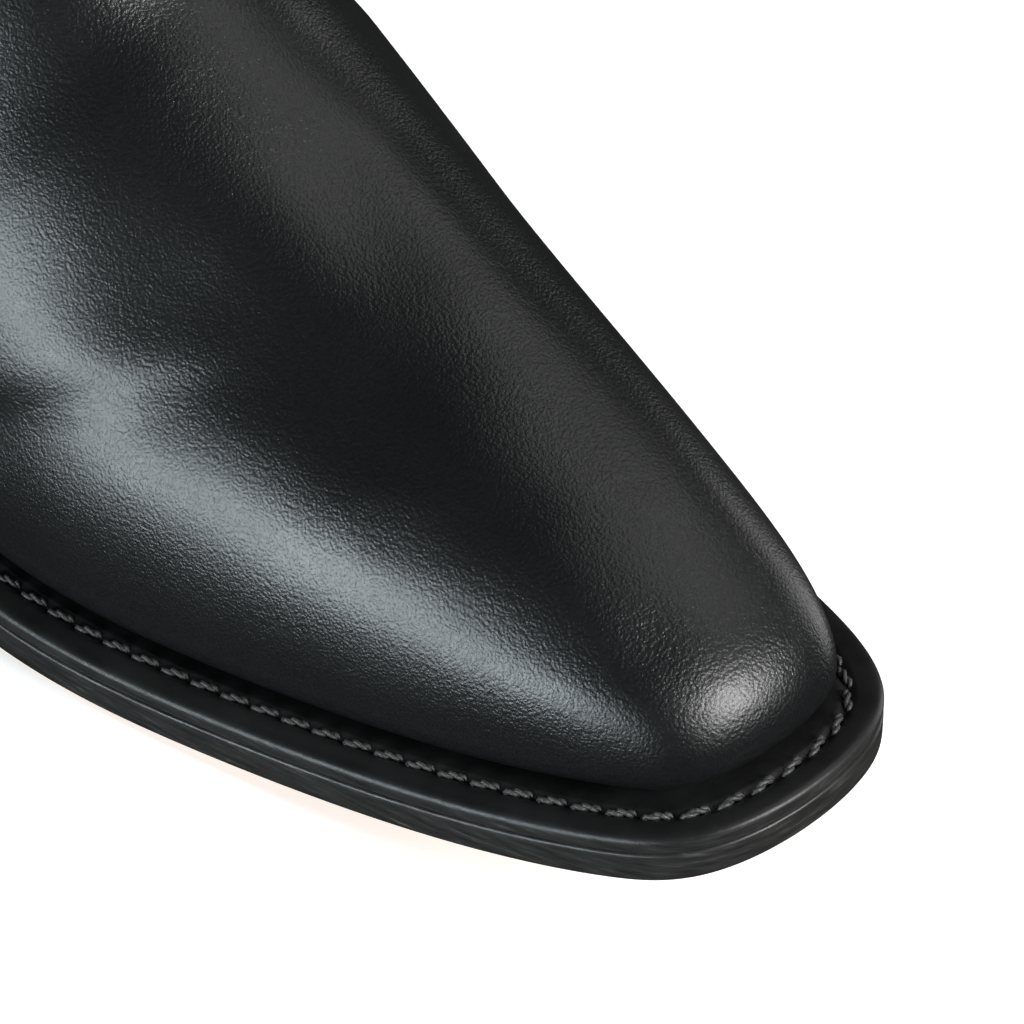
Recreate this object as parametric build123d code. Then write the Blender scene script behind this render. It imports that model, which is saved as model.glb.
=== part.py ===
from build123d import *
import math
import os

# Cowboy boot, right foot. While it is built, x runs from the back of the heel seat towards the toe,
# y to the medial side and z up from the floor. Lengths are millimetres.

# ---- driving sizes ----
LAST_LENGTH = 272.0        # feather line, heel to toe
LAST_WIDTH = 72.0          # feather line across the ball
HEEL_HEIGHT = 38.0         # heel stack under the back of the outsole
TOE_SPRING = 12.5          # lift of the outsole under the toe tip
SHAFT_TOP = 318.0          # side of the top line above the floor
TOP_DIP = 34.0             # scallop at the front and back of the top line
LEG_WIDTH = 91.0           # shaft across, at the top

OUTSOLE_THICKNESS = 4.6
WELT_THICKNESS = 2.7
WELT_AT_TOE = 6.4          # how far the welt stands out from the upper
WELT_AT_BALL = 5.2
WELT_AT_WAIST = 3.2
WELT_AT_HEEL = 2.2
LASTING_MARGIN = 12.0      # upper turned under the insole

VAMP_THICKNESS = 1.4
SHAFT_THICKNESS = 1.6
LINING_THICKNESS = 1.2
INSOLE_THICKNESS = 3.0
SOCK_THICKNESS = 1.0
BINDING_THICKNESS = 0.8
BINDING_DEPTH = 7.0
PIPING_WIDTH = 3.2
PIPING_HEIGHT = 1.1

LIFT_COUNT = 5
TOP_LIFT_THICKNESS = 6.0
HEEL_LENGTH = 62.0         # heel breast from the back of the heel seat
HEEL_SLOPE = 11.0          # how far the back of the heel runs in at the floor
HEEL_FLARE = 0.84          # heel width at the floor over its width at the outsole
HEEL_EDGE = 0.6            # heel stack set in from the outsole edge

STRAP_WIDTH = 30.0
STRAP_THICKNESS = 1.8
STRAP_LEG = 62.0           # sewn length down the shaft
LOOP_HEIGHT = 26.0         # finger loop above the top line
LOOP_GAP = 12.0            # finger room between the two legs of the loop

THREAD_WIDTH = 0.9
THREAD_HEIGHT = 0.35       # thread standing above the welt
GROOVE_DEPTH = 0.5
STITCH_INSET = 4.2         # seam line in from the welt edge

SHANK_LENGTH = 95.0
SHANK_WIDTH = 14.0
SHANK_THICKNESS = 1.2
PEG_DIAMETER = 2.4
PEG_PITCH = 6.5
PEG_COUNT = 9
NAIL_DIAMETER = 1.8
NAIL_HEAD = 3.6
NAIL_HEAD_THICKNESS = 0.8
NAIL_LENGTH = 11.0
NAIL_COUNT = 11
NAIL_INSET = 6.5

RING_POINTS = 32           # points round each girth
BELOW = 30.0               # how far tools reach past what they cut

# ---- shape of the last, drawn at a length of 272, a width of 72 and a heel of 38 ----
DRAWN_LENGTH = 272.0
DRAWN_WIDTH = 72.0
DRAWN_LEG = 91.0
DRAWN_TOP = 318.0
DRAWN_SEAT = 45.3
ALONG = LAST_LENGTH / DRAWN_LENGTH
ACROSS = LAST_WIDTH / DRAWN_WIDTH
SEAT_X = 2.5               # back of the feather line
SOLE_THICKNESS = OUTSOLE_THICKNESS + WELT_THICKNESS

# x, share of the heel height, share of the toe spring
SOLE_LINE = [
    (-12, 1.01, 0), (25, 0.985, 0), (55, 0.91, 0), (85, 0.725, 0), (115, 0.44, 0), (142, 0.195, 0),
    (168, 0.045, 0), (190, 0, 0), (215, 0, 0.1), (245, 0, 0.42), (280, 0, 1), (292, 0, 1.24),
]
# share of the girth from heel to toe, lateral half width, medial half width
FEATHER_LINE = [
    (0, 0, 0), (0.1, 16.5, 17.0), (0.2, 26.2, 26.8), (0.3, 28.2, 27.2), (0.4, 28.5, 24.0),
    (0.5, 33.2, 26.8), (0.6, 38.0, 34.2), (0.7, 31.9, 26.9), (0.8, 22.9, 20.3), (0.9, 14.0, 14.7),
    (0.95, 9.1, 9.7), (1, 0, 0),
]
# Each girth runs from a back point to a front point. Front x, front height above the toe feather,
# back x, back height above the seat, share of leg in its shape, half width of the leg, fullness.
GIRTHS = [
    (274.3, 0.0, 2.5, 0.0, 0.0, 33.0, 0.0),
    (275.2, 3.7, -0.8, 6.1, 0.0, 33.0, 1.4),
    (274.4, 7.3, -2.5, 13.1, 0.03, 33.0, 1.8),
    (270.6, 10.6, -3.2, 20.1, 0.08, 33.0, 1.4),
    (263.2, 12.6, -3.2, 27.1, 0.16, 33.0, 0.6),
    (250.9, 14.7, -2.5, 34.1, 0.27, 31.0, 0.0),
    (231.5, 17.2, -1.0, 41.1, 0.40, 30.0, 0.0),
    (208.8, 21.4, 0.8, 49.1, 0.54, 30.0, 0.0),
    (187.0, 27.9, 2.6, 57.1, 0.67, 30.5, 0.0),
    (168.3, 39.0, 4.8, 67.1, 0.78, 31.5, 0.0),
    (152.0, 54.6, 6.8, 78.1, 0.87, 33.0, 0.0),
    (140.5, 75.7, 8.0, 93.1, 0.94, 34.5, 0.0),
    (133.2, 101.6, 7.2, 112.1, 0.98, 36.5, 0.0),
    (130.0, 132.1, 3.8, 137.1, 1.0, 38.5, 0.0),
    (132.0, 171.1, -3.0, 174.1, 1.0, 41.0, 0.0),
    (136.8, 215.1, -8.7, 217.1, 1.0, 43.5, 0.0),
    (142.0, 262.0, -12.5, 263.0, 1.0, 45.2, 0.0),
    (147.0, 322.0, -15.5, 322.0, 1.0, 45.8, 0.0),
]
ANKLE_GIRTH = 12
LEAVES_SOLE = 10.0         # girth at which the rings no longer follow the sole line
TOE_SWING = 5.0            # toe centre lies this far to the medial side
SEAM_LINE = [(74, 10), (74, 60), (73, 100), (71, 160), (66, 250), (63, 370)]
VAMP_TOP = [(190, 176), (150, 171), (126, 157), (111, 127), (97, 104), (84, 93), (60, 89)]
COUNTER_TOP = [(100, 84), (72, 88), (50, 93), (24, 105), (0, 117), (-30, 124)]
PUFF_LINE = [(222, -10), (226, 40), (236, 90)]
UNDERLAP = 12.0            # how far one piece runs under the next for its seam

# ---- curves ----


def natural_curve(points):
    """A smooth y(x) through the points, straight beyond both ends."""
    xs = [p[0] for p in points]
    ys = [p[1] for p in points]
    last = len(xs) - 1
    gap = [xs[i + 1] - xs[i] for i in range(last)]
    rise = [(ys[i + 1] - ys[i]) / gap[i] for i in range(last)]
    upper = [0.0] * (last + 1)
    right = [0.0] * (last + 1)
    for i in range(1, last):
        pivot = 2 * (gap[i - 1] + gap[i]) - gap[i - 1] * upper[i - 1]
        upper[i] = gap[i] / pivot
        right[i] = (6 * (rise[i] - rise[i - 1]) - gap[i - 1] * right[i - 1]) / pivot
    bend = [0.0] * (last + 1)
    for i in range(last - 1, 0, -1):
        bend[i] = right[i] - upper[i] * bend[i + 1]

    def value(x):
        if x <= xs[0]:
            return ys[0] + (rise[0] - gap[0] * bend[1] / 6) * (x - xs[0])
        if x >= xs[last]:
            return ys[last] + (rise[-1] + gap[-1] * bend[-2] / 6) * (x - xs[last])
        i = max(j for j in range(last) if xs[j] <= x)
        a = (xs[i + 1] - x) / gap[i]
        b = (x - xs[i]) / gap[i]
        cubic = ((a**3 - a) * bend[i] + (b**3 - b) * bend[i + 1]) * gap[i] ** 2 / 6
        return a * ys[i] + b * ys[i + 1] + cubic

    return value


def ease(start, end, x):
    """0 before start, 1 after end, smooth between."""
    u = min(1.0, max(0.0, (x - start) / (end - start)))
    return u * u * (3 - 2 * u)


def place(x):
    """x of a point drawn on the reference last."""
    return SEAT_X + (x - SEAT_X) * ALONG


welt_top = natural_curve(
    [(place(x), SOLE_THICKNESS + HEEL_HEIGHT * heel + TOE_SPRING * toe) for x, heel, toe in SOLE_LINE]
)
lateral_width = natural_curve([(a, w * ACROSS) for a, w, _ in FEATHER_LINE])
medial_width = natural_curve([(a, w * ACROSS) for a, _, w in FEATHER_LINE])
welt_width = natural_curve([
    (place(0), WELT_AT_HEEL), (place(60), WELT_AT_HEEL + 0.4), (place(105), WELT_AT_WAIST),
    (place(180), WELT_AT_BALL), (place(240), (WELT_AT_BALL + WELT_AT_TOE) / 2), (place(275), WELT_AT_TOE),
])
SEAT_Z = welt_top(SEAT_X)
TOE_X = place(GIRTHS[0][0])
TOE_Z = welt_top(TOE_X)


def toe_swing(x):
    return TOE_SWING * ease(place(130), place(275), x)


def leg_height(drawn):
    """Height above the seat of a point of the leg drawn on the reference boot."""
    ankle = GIRTHS[ANKLE_GIRTH][1]
    stretch = (SHAFT_TOP - SEAT_Z - ankle) / (DRAWN_TOP - DRAWN_SEAT - ankle)
    return drawn if drawn <= ankle else ankle + (drawn - ankle) * stretch


GIRTH_CURVES = [natural_curve(list(enumerate(column))) for column in zip(*GIRTHS)]


def girth_point(k, t):
    """A point of the outer skin: girth k, and t from the heel (0) to the toe (-1 lateral, 1 medial)."""
    front_x, front_rise, back_x, back_rise, leg, half, full = [curve(k) for curve in GIRTH_CURVES]
    leg = min(1.0, max(0.0, leg))
    full = max(0.0, full)
    half *= LEG_WIDTH / DRAWN_LEG
    front_base = TOE_Z + leg * (SEAT_Z - TOE_Z)
    a = abs(t)
    s = (1 - math.cos(math.pi * a)) / 2
    round_part = math.sin(math.pi * a)
    if not 0 < a < 1:
        width = 0.0
    else:
        sole_width = lateral_width(a) if t < 0 else medial_width(a)
        width = (1 - leg) * (sole_width + full * round_part**0.5) + leg * half * round_part
    x = place(back_x) + (place(front_x) - place(back_x)) * s
    y = math.copysign(width, t) + toe_swing(x)
    front_z = front_base + leg_height(front_rise)
    back_z = SEAT_Z + leg_height(back_rise)
    sole_x = SEAT_X + (TOE_X - SEAT_X) * s
    following = welt_top(sole_x) + (1 - s) * (back_z - SEAT_Z) + s * (front_z - TOE_Z)
    leaving = ease(0, LEAVES_SOLE, k)
    z = (1 - leaving) * following + leaving * (back_z + (front_z - back_z) * s)
    return Vector(x, y, z)


def ring_parameters():
    return [-1 + 2 * j / RING_POINTS for j in range(RING_POINTS)]


LEVELS = [k / 2 for k in range(2 * ANKLE_GIRTH)] + list(range(ANKLE_GIRTH, len(GIRTHS)))
SKIN = [[girth_point(k, t) for t in ring_parameters()] for k in LEVELS]


def skin_normal(k, j):
    """Outward normal of the skin at point j of its ring k."""
    around = SKIN[k][(j + 1) % RING_POINTS] - SKIN[k][j - 1]
    low = max(k - 1, 0)
    high = min(k + 1, len(SKIN) - 1)
    up = SKIN[high][j] - SKIN[low][j]
    if k == 0 or high == k:
        up = Vector(0, 0, 1)
    return up.cross(around).normalized()


def closed_spline(points):
    """A smooth closed wire whose points are evenly spaced in its parameter."""
    steps = [j / len(points) for j in range(len(points) + 1)]
    return Wire([Edge.make_spline(points, periodic=True, parameters=steps)])


def skin_solid(depth):
    """The solid inside the skin, set in by depth, reaching below the sole line."""
    rings = []
    for k in range(len(SKIN)):
        rings.append([SKIN[k][j] - skin_normal(k, j) * depth for j in range(RING_POINTS)])
    top_z = SKIN[-1][0].Z
    rings[-1] = [Vector(p.X, p.Y, top_z) for p in rings[-1]]
    floor = [Vector(p.X, p.Y, -BELOW) for p in rings[0]]
    return Solid.make_loft([closed_spline(ring) for ring in [floor] + rings], ruled=True)


def plan_wire(offset):
    """The feather line in plan, moved out by offset(x)."""
    points = []
    for j in range(RING_POINTS):
        p = SKIN[0][j]
        n = skin_normal(0, j)
        d = offset(p.X)
        points.append(Vector(p.X + n.X * d, p.Y + n.Y * d, -BELOW))
    return closed_spline(points)


def plan_solid(offset):
    return extrude(Face(plan_wire(offset)), SHAFT_TOP, dir=(0, 0, 1))


def sole_edge_line(drop):
    """Side view of the welt's top, moved down by drop, from behind the heel to past the toe."""
    xs = [place(-25 + 27 * i) for i in range(13)]
    return Spline(*[(x, 0, welt_top(x) - drop) for x in xs])


def widen(face):
    """A side-view face made into a bar right across the boot."""
    return extrude(face, LEG_WIDTH, dir=(0, 1, 0), both=True)


def side_bar(curve, *corners):
    """A bar whose side view lies between a curve and the given corners (x, z)."""
    start = curve @ 0
    end = curve @ 1
    rest = Polyline((end.X, 0, end.Z), *[(x, 0, z) for x, z in corners], (start.X, 0, start.Z))
    return widen(make_face([curve, rest]))


def sole_band(upper_drop, lower_drop):
    """The layer between two drops below the welt's top."""
    top = sole_edge_line(upper_drop)
    bottom = sole_edge_line(lower_drop)
    ends = [Line(top @ 0, bottom @ 0), Line(top @ 1, bottom @ 1)]
    return widen(make_face([top, bottom] + ends))


def above_sole(drop):
    top = SHAFT_TOP + 2 * BELOW
    line = sole_edge_line(drop)
    return side_bar(line, ((line @ 1).X, top), ((line @ 0).X, top))


def seam_curve(points, dx=0.0, dz=0.0):
    """A seam drawn on the reference boot, moved by dx, dz."""
    return Spline(*[(place(x) + dx, 0, z - DRAWN_SEAT + SEAT_Z + dz) for x, z in points])


def top_z(x, lift=0.0):
    """The scalloped top line in side view."""
    middle = place(SEAM_LINE[-2][0])
    half = place(GIRTHS[-2][0]) - middle
    return SHAFT_TOP + lift - TOP_DIP * abs((x - middle) / half) ** 2.2


def top_curve(lift=0.0):
    middle = place(SEAM_LINE[-2][0])
    half = place(GIRTHS[-2][0]) - middle + 8
    return Spline(*[(middle + half * u / 4, 0, top_z(middle + half * u / 4, lift)) for u in range(-4, 5)])


# ---- cutting bars shared by the pieces of the upper ----
FAR = place(330)
NEAR = place(-60)
HIGH = SHAFT_TOP + 2 * BELOW


def ahead_of_seam():
    return side_bar(seam_curve(SEAM_LINE), (FAR, HIGH + BELOW), (FAR, -BELOW))


def behind_seam():
    return side_bar(seam_curve(SEAM_LINE), (NEAR, HIGH + BELOW), (NEAR, -BELOW))


def below_vamp_line(shift):
    curve = seam_curve(VAMP_TOP, 0.8 * shift, -shift)
    return side_bar(curve, (NEAR, (curve @ 1).Z), (NEAR, -BELOW), (FAR, -BELOW), (FAR, (curve @ 0).Z))


def below_counter_line(shift):
    curve = seam_curve(COUNTER_TOP, 0, -shift)
    return side_bar(curve, (NEAR, (curve @ 1).Z), (NEAR, -BELOW), (FAR, -BELOW), (FAR, (curve @ 0).Z))


def below_top_line(lift=0.0):
    curve = top_curve(lift)
    return side_bar(curve, (FAR, (curve @ 1).Z), (FAR, -BELOW), (NEAR, -BELOW), (NEAR, (curve @ 0).Z))


def toe_bar():
    curve = seam_curve(PUFF_LINE)
    return side_bar(curve, (FAR, (curve @ 1).Z), (FAR, (curve @ 0).Z))


def in_front(x):
    return Pos(x + 200, 0, 0) * Box(400, 4 * LEG_WIDTH, 4 * SHAFT_TOP)


# ---- sole ----
VAMP_IN = VAMP_THICKNESS
SHAFT_IN = VAMP_IN + SHAFT_THICKNESS
LINING_IN = SHAFT_IN + LINING_THICKNESS
BREAST_X = place(HEEL_LENGTH)


def rim(inset=0.0):
    return plan_solid(lambda x: welt_width(x) - inset)


def inside_feather(inset):
    return plan_solid(lambda x: -inset)


def inside_margin():
    """The plan of what the turned margin leaves open: the feather line drawn in on all sides."""
    points = []
    for t in ring_parameters():
        a = abs(t)
        share = (1 - math.cos(math.pi * a)) / 2
        x = SEAT_X + LASTING_MARGIN + (TOE_X - SEAT_X - 2 * LASTING_MARGIN) * share
        half = lateral_width(a) if t < 0 else medial_width(a)
        width = half * (1 - 2 * LASTING_MARGIN / LAST_WIDTH) if 0 < a < 1 else 0.0
        points.append(Vector(x, math.copysign(width, t) + toe_swing(x), -BELOW))
    return extrude(Face(closed_spline(points)), SHAFT_TOP, dir=(0, 0, 1))


def peg_solids():
    """Two rows of wooden pegs down each side of the waist."""
    pegs = []
    for side in (-1, 1):
        for row in (0, 1):
            for i in range(PEG_COUNT):
                x = BREAST_X + 8 + PEG_PITCH * (i + 0.5 * row)
                a = math.acos(1 - 2 * (x - SEAT_X) / (TOE_X - SEAT_X)) / math.pi
                width = lateral_width(a) if side < 0 else medial_width(a)
                y = side * (width - 1.5 - 4.5 * row)
                pegs.append(Pos(x, y, welt_top(x)) * Cylinder(PEG_DIAMETER / 2, 2 * BELOW))
    return Compound(children=pegs)


def waist_pegs():
    return peg_solids() & sole_band(0, SOLE_THICKNESS)


def outsole():
    plate = rim() & sole_band(WELT_THICKNESS, SOLE_THICKNESS)
    return plate - peg_solids()


def welt_ring():
    return (rim() & sole_band(0, WELT_THICKNESS)) - inside_margin()


def seam_ring(reach):
    """The band that the welt seam lies in, reaching above the welt by reach."""
    outer = rim(STITCH_INSET - THREAD_WIDTH / 2)
    inner = rim(STITCH_INSET + THREAD_WIDTH / 2)
    return ((outer - inner) & sole_band(-reach, GROOVE_DEPTH)) & in_front(BREAST_X + 4)


def welt():
    return ((welt_ring() & in_front(BREAST_X)) - seam_ring(1)) - peg_solids()


def heel_seat_rand():
    return welt_ring() - in_front(BREAST_X)


def welt_stitching():
    return seam_ring(THREAD_HEIGHT)


def steel_shank():
    middle = BREAST_X + 22
    bar = Pos(middle, 0, 0) * Box(SHANK_LENGTH, SHANK_WIDTH, 4 * SHAFT_TOP)
    ends = Pos(middle, 0, 0) * Cylinder(SHANK_LENGTH / 2, 4 * SHAFT_TOP)
    return (bar & ends) & sole_band(0, SHANK_THICKNESS)


def cork_filler():
    slab = inside_margin() & sole_band(-VAMP_THICKNESS, WELT_THICKNESS)
    return slab - steel_shank()


def insole():
    return skin_solid(LINING_IN) & sole_band(-VAMP_IN - INSOLE_THICKNESS, -VAMP_IN)


def sock_lining():
    low = -VAMP_IN - INSOLE_THICKNESS
    return skin_solid(LINING_IN) & sole_band(low - SOCK_THICKNESS, low)


# ---- heel ----


def heel_outline(z, slide, width, inset):
    """A D-shaped wire at height z: the heel seat's curve, moved in at the back, with a hollow breast."""
    points = []
    for t in (-0.26, -0.2, -0.13, -0.06, 0.0, 0.06, 0.13, 0.2, 0.26):
        a = abs(t)
        x = SEAT_X + (TOE_X - SEAT_X) * (1 - math.cos(math.pi * a)) / 2
        half = lateral_width(a) if t < 0 else medial_width(a)
        edge = WELT_AT_HEEL - inset
        y = math.copysign(half + edge, t) * width if a else 0.0
        back = 1 - (x - SEAT_X) / (BREAST_X - SEAT_X)
        points.append((x - edge * max(back, 0) + slide * back, y, z))
    first = Vector(*points[0])
    final = Vector(*points[-1])
    left = Vector(BREAST_X, first.Y, z)
    right = Vector(BREAST_X, final.Y, z)
    curve = Spline(*points)
    breast = ThreePointArc(left, Vector(BREAST_X - 4, (left.Y + right.Y) / 2, z), right)
    return Wire([curve.edge(), Line(final, right).edge(), breast.edge(), Line(left, first).edge()])


def heel_block():
    """The whole stack: it runs in towards the floor and ends under the outsole."""
    top = SEAT_Z + 2
    foot = heel_outline(0, HEEL_SLOPE, HEEL_FLARE, HEEL_EDGE)
    head = heel_outline(top, 0, 1.0, HEEL_EDGE)
    block = Solid.make_loft([foot, head])
    return block - above_sole(SOLE_THICKNESS)


def heel_layer(low, high):
    middle = (low + high) / 2
    return Pos(place(30), 0, middle) * Box(place(200), 4 * LEG_WIDTH, high - low)


def lift_heights():
    """Heights of the joints between the lifts, from the top lift up to the outsole."""
    first = SEAT_Z - SOLE_THICKNESS
    step = (welt_top(BREAST_X) - SOLE_THICKNESS - TOP_LIFT_THICKNESS) / LIFT_COUNT
    joints = [TOP_LIFT_THICKNESS + step * i for i in range(LIFT_COUNT)]
    return joints + [first + BELOW]


def nail_solids():
    """Headed nails round the edge of the top lift, heads flush with the floor face."""
    nails = []
    for i in range(NAIL_COUNT):
        angle = math.pi * (0.5 + (i + 0.5) / NAIL_COUNT)
        reach_x = HEEL_LENGTH * ALONG - HEEL_SLOPE - 2 * NAIL_INSET - 6
        reach_y = lateral_width(0.25) * HEEL_FLARE - NAIL_INSET + 1
        x = BREAST_X - NAIL_INSET - 6 + reach_x * math.cos(angle)
        y = reach_y * math.sin(angle)
        shank = Pos(x, y, NAIL_LENGTH / 2) * Cylinder(NAIL_DIAMETER / 2, NAIL_LENGTH)
        head = Pos(x, y, NAIL_HEAD_THICKNESS / 2) * Cylinder(NAIL_HEAD / 2, NAIL_HEAD_THICKNESS)
        nails.append(shank + head)
    return Compound(children=nails)


def heel_pieces():
    block = heel_block()
    nails = nail_solids()
    joints = lift_heights()
    pieces = {"heel_top_lift": (block & heel_layer(0, TOP_LIFT_THICKNESS)) - nails, "heel_nails": nails}
    for i in range(LIFT_COUNT):
        lift = block & heel_layer(joints[i], joints[i + 1])
        if joints[i] < NAIL_LENGTH:
            lift = lift - nails
        pieces[f"heel_lift_{i + 1}"] = lift
    return pieces


# ---- upper ----


def turned_margin():
    """The lower edge of the upper, turned flat under the insole."""
    ring = inside_feather(VAMP_IN / 2) - inside_margin()
    return ring & sole_band(-VAMP_IN, 0)


def outer_shell():
    shell = (skin_solid(0) - skin_solid(VAMP_IN)) & above_sole(0)
    return shell + turned_margin()


def middle_shell():
    return ((skin_solid(VAMP_IN) - skin_solid(SHAFT_IN)) & above_sole(-VAMP_IN)) & below_top_line()


def inner_shell():
    return ((skin_solid(SHAFT_IN) - skin_solid(LINING_IN)) & above_sole(-VAMP_IN)) & below_top_line()


def upper_pieces():
    ahead = ahead_of_seam()
    behind = behind_seam()
    outer = outer_shell()
    middle = middle_shell()
    inner = inner_shell()
    under_vamp = below_vamp_line(UNDERLAP)
    under_counter = below_counter_line(UNDERLAP)
    lining_break = below_vamp_line(UNDERLAP / 2)
    toe = toe_bar()
    front = middle & ahead
    back = middle & behind
    front_foot = front & under_vamp
    return {
        "vamp": outer & ahead & below_vamp_line(0),
        "counter_cover": outer & behind & below_counter_line(0),
        "toe_puff": front_foot & toe,
        "vamp_backer": front_foot - toe,
        "shaft_front": front - under_vamp,
        "heel_stiffener": back & under_counter,
        "shaft_back": back - under_counter,
        "vamp_lining": inner & ahead & lining_break,
        "shaft_front_lining": (inner & ahead) - lining_break,
        "shaft_back_lining": inner & behind,
    }


def top_binding():
    outer = skin_solid(VAMP_IN - BINDING_THICKNESS) - skin_solid(LINING_IN + BINDING_THICKNESS)
    band = (outer & below_top_line(BINDING_THICKNESS)) - below_top_line(-BINDING_DEPTH)
    layers = skin_solid(VAMP_IN) - skin_solid(LINING_IN)
    return band - (layers & below_top_line())


def seam_strip(width, low, high):
    """A bar as wide as given along the side seam, between two heights."""
    left = seam_curve(SEAM_LINE, -width / 2)
    right = seam_curve(SEAM_LINE, width / 2)
    ends = [Line(left @ 0, right @ 0), Line(left @ 1, right @ 1)]
    bar = widen(make_face([left, right] + ends))
    return bar & (Pos(0, 0, (low + high) / 2) * Box(4 * LAST_LENGTH, 4 * LEG_WIDTH, high - low))


def half_side(side):
    return Pos(0, side * LEG_WIDTH, 0) * Box(4 * LAST_LENGTH, 2 * LEG_WIDTH, 4 * SHAFT_TOP)


def side_pipings():
    """A raised bead down each side seam, from the pull strap to the vamp and counter."""
    shell = skin_solid(VAMP_IN - PIPING_HEIGHT) - skin_solid(VAMP_IN)
    foot = SEAT_Z
    strip = shell & seam_strip(PIPING_WIDTH, foot, SHAFT_TOP - STRAP_LEG)
    strip = (strip - (below_vamp_line(0) & ahead_of_seam())) - (below_counter_line(0) & behind_seam())
    return {
        "side_piping_lateral": strip & half_side(-1),
        "side_piping_medial": strip & half_side(1),
    }


def loop_arch(side):
    """The free loop of a pull strap: an arch across the top line, as wide as the strap."""
    x = place(SEAM_LINE[-2][0] - 1)
    wall_y = (LEG_WIDTH / 2 - (LINING_IN + VAMP_IN) / 2) * side + toe_swing(x)
    radius = LOOP_GAP / 2 + STRAP_THICKNESS
    middle = SHAFT_TOP + LOOP_HEIGHT - radius
    plane = Plane(origin=(x, wall_y, middle), x_dir=(0, 1, 0), z_dir=(1, 0, 0))
    leg = middle - SHAFT_TOP - 2 * BINDING_THICKNESS
    ring = Circle(radius) - Circle(radius - STRAP_THICKNESS)
    arch = ring & (Pos(0, radius) * Rectangle(4 * radius, 2 * radius))
    thin = (LINING_IN - VAMP_IN) / 2 + STRAP_THICKNESS / 2
    legs = []
    for s in (-1, 1):
        foot = s * thin
        head = s * (radius - STRAP_THICKNESS / 2)
        half = STRAP_THICKNESS / 2
        legs.append(make_face(Polyline(
            (foot - half, -leg), (foot + half, -leg), (head + half, 0), (head - half, 0), (foot - half, -leg)
        )))
    profile = arch + legs[0] + legs[1]
    return extrude(plane * profile, STRAP_WIDTH / 2, both=True)


def pull_straps(binding):
    outer = skin_solid(VAMP_IN - STRAP_THICKNESS) - skin_solid(VAMP_IN)
    inner = skin_solid(LINING_IN) - skin_solid(LINING_IN + STRAP_THICKNESS)
    strip = seam_strip(STRAP_WIDTH, SHAFT_TOP - STRAP_LEG, SHAFT_TOP + 4 * BINDING_THICKNESS)
    legs = ((outer + inner) & strip) - binding
    straps = {}
    for side, name in ((-1, "pull_strap_lateral"), (1, "pull_strap_medial")):
        straps[name] = (legs & half_side(side)) + (loop_arch(side) - binding)
    return straps


# ---- the boot ----


def boot():
    binding = top_binding()
    pieces = {
        "outsole": outsole(),
        "welt": welt(),
        "heel_seat_rand": heel_seat_rand(),
        "welt_stitching": welt_stitching(),
        "waist_pegs": waist_pegs(),
        "cork_filler": cork_filler(),
        "steel_shank": steel_shank(),
        "insole": insole(),
        "sock_lining": sock_lining(),
        "top_binding": binding,
    }
    pieces.update(heel_pieces())
    pieces.update(upper_pieces())
    pieces.update(side_pipings())
    pieces.update(pull_straps(binding))
    return pieces


def main():
    pieces = boot()
    boxes = [shape.bounding_box() for shape in pieces.values()]
    middle_x = (min(b.min.X for b in boxes) + max(b.max.X for b in boxes)) / 2
    middle_y = (min(b.min.Y for b in boxes) + max(b.max.Y for b in boxes)) / 2
    bottom = min(b.min.Z for b in boxes)
    os.makedirs("parts", exist_ok=True)
    for name, shape in pieces.items():
        export_step(Pos(-middle_x, -middle_y, -bottom) * shape, f"parts/{name}.step")


main()
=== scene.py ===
import math

import bmesh
import bpy
import numpy as np
from mathutils import Matrix, Vector
from mathutils.kdtree import KDTree


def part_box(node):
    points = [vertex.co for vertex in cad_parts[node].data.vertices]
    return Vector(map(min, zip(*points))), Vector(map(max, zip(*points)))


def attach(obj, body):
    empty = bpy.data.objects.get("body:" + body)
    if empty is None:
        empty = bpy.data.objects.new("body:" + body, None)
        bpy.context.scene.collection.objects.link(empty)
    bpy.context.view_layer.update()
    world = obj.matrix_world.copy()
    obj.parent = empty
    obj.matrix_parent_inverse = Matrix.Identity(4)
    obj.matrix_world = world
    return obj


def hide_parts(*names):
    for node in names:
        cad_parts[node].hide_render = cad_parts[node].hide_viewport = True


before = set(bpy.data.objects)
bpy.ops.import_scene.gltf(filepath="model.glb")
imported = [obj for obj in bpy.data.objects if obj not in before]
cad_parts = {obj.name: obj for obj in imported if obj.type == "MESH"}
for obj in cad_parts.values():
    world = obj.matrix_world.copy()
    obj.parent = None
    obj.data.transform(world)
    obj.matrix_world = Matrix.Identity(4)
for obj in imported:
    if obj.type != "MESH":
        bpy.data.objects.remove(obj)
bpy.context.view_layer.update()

bl_info = {
    "name": "Cowboy Boot",
    "version": (1, 0, 0),
    "blender": (4, 5, 0),
    "location": "View3D > Sidebar > Boot",
    "description": "Builds a welted pull-on leather boot round its packed frame",
    "category": "Object",
}

# ---- sizes in millimetres, as the frame was drawn: x forwards from behind the heel, y medial, z up ----

# the last and the sole under it
SEAT_X = 2.5
FEATHER_LENGTH = 271.8
HEEL_HEIGHT = 38.0
HEEL_LENGTH = 62.0
TOE_SPRING = 12.5
TOE_SWING = 5.0
OUTSOLE_THICKNESS = 4.6
WELT_THICKNESS = 2.7
SOLE_THICKNESS = OUTSOLE_THICKNESS + WELT_THICKNESS
# the girth above which the upper no longer follows the sole's line
LEAVES_SOLE = 10.0

# depths of the layers' inner faces below the skin
VAMP_IN = 1.4
SHAFT_IN = 3.0
LINING_IN = 4.2

# how far the panels run under the vamp and the counter, and the foot lining under the leg's
PANEL_OVERLAP = 10.0
LINING_JOINT = 6.0
# an upper piece's edge: how much it is thinned and over what length, its least wall, its foot under the welt
SKIVED = 0.5
SKIVE_LENGTH = 0.9
THINNEST = 0.4
SUNK = 0.8
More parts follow.
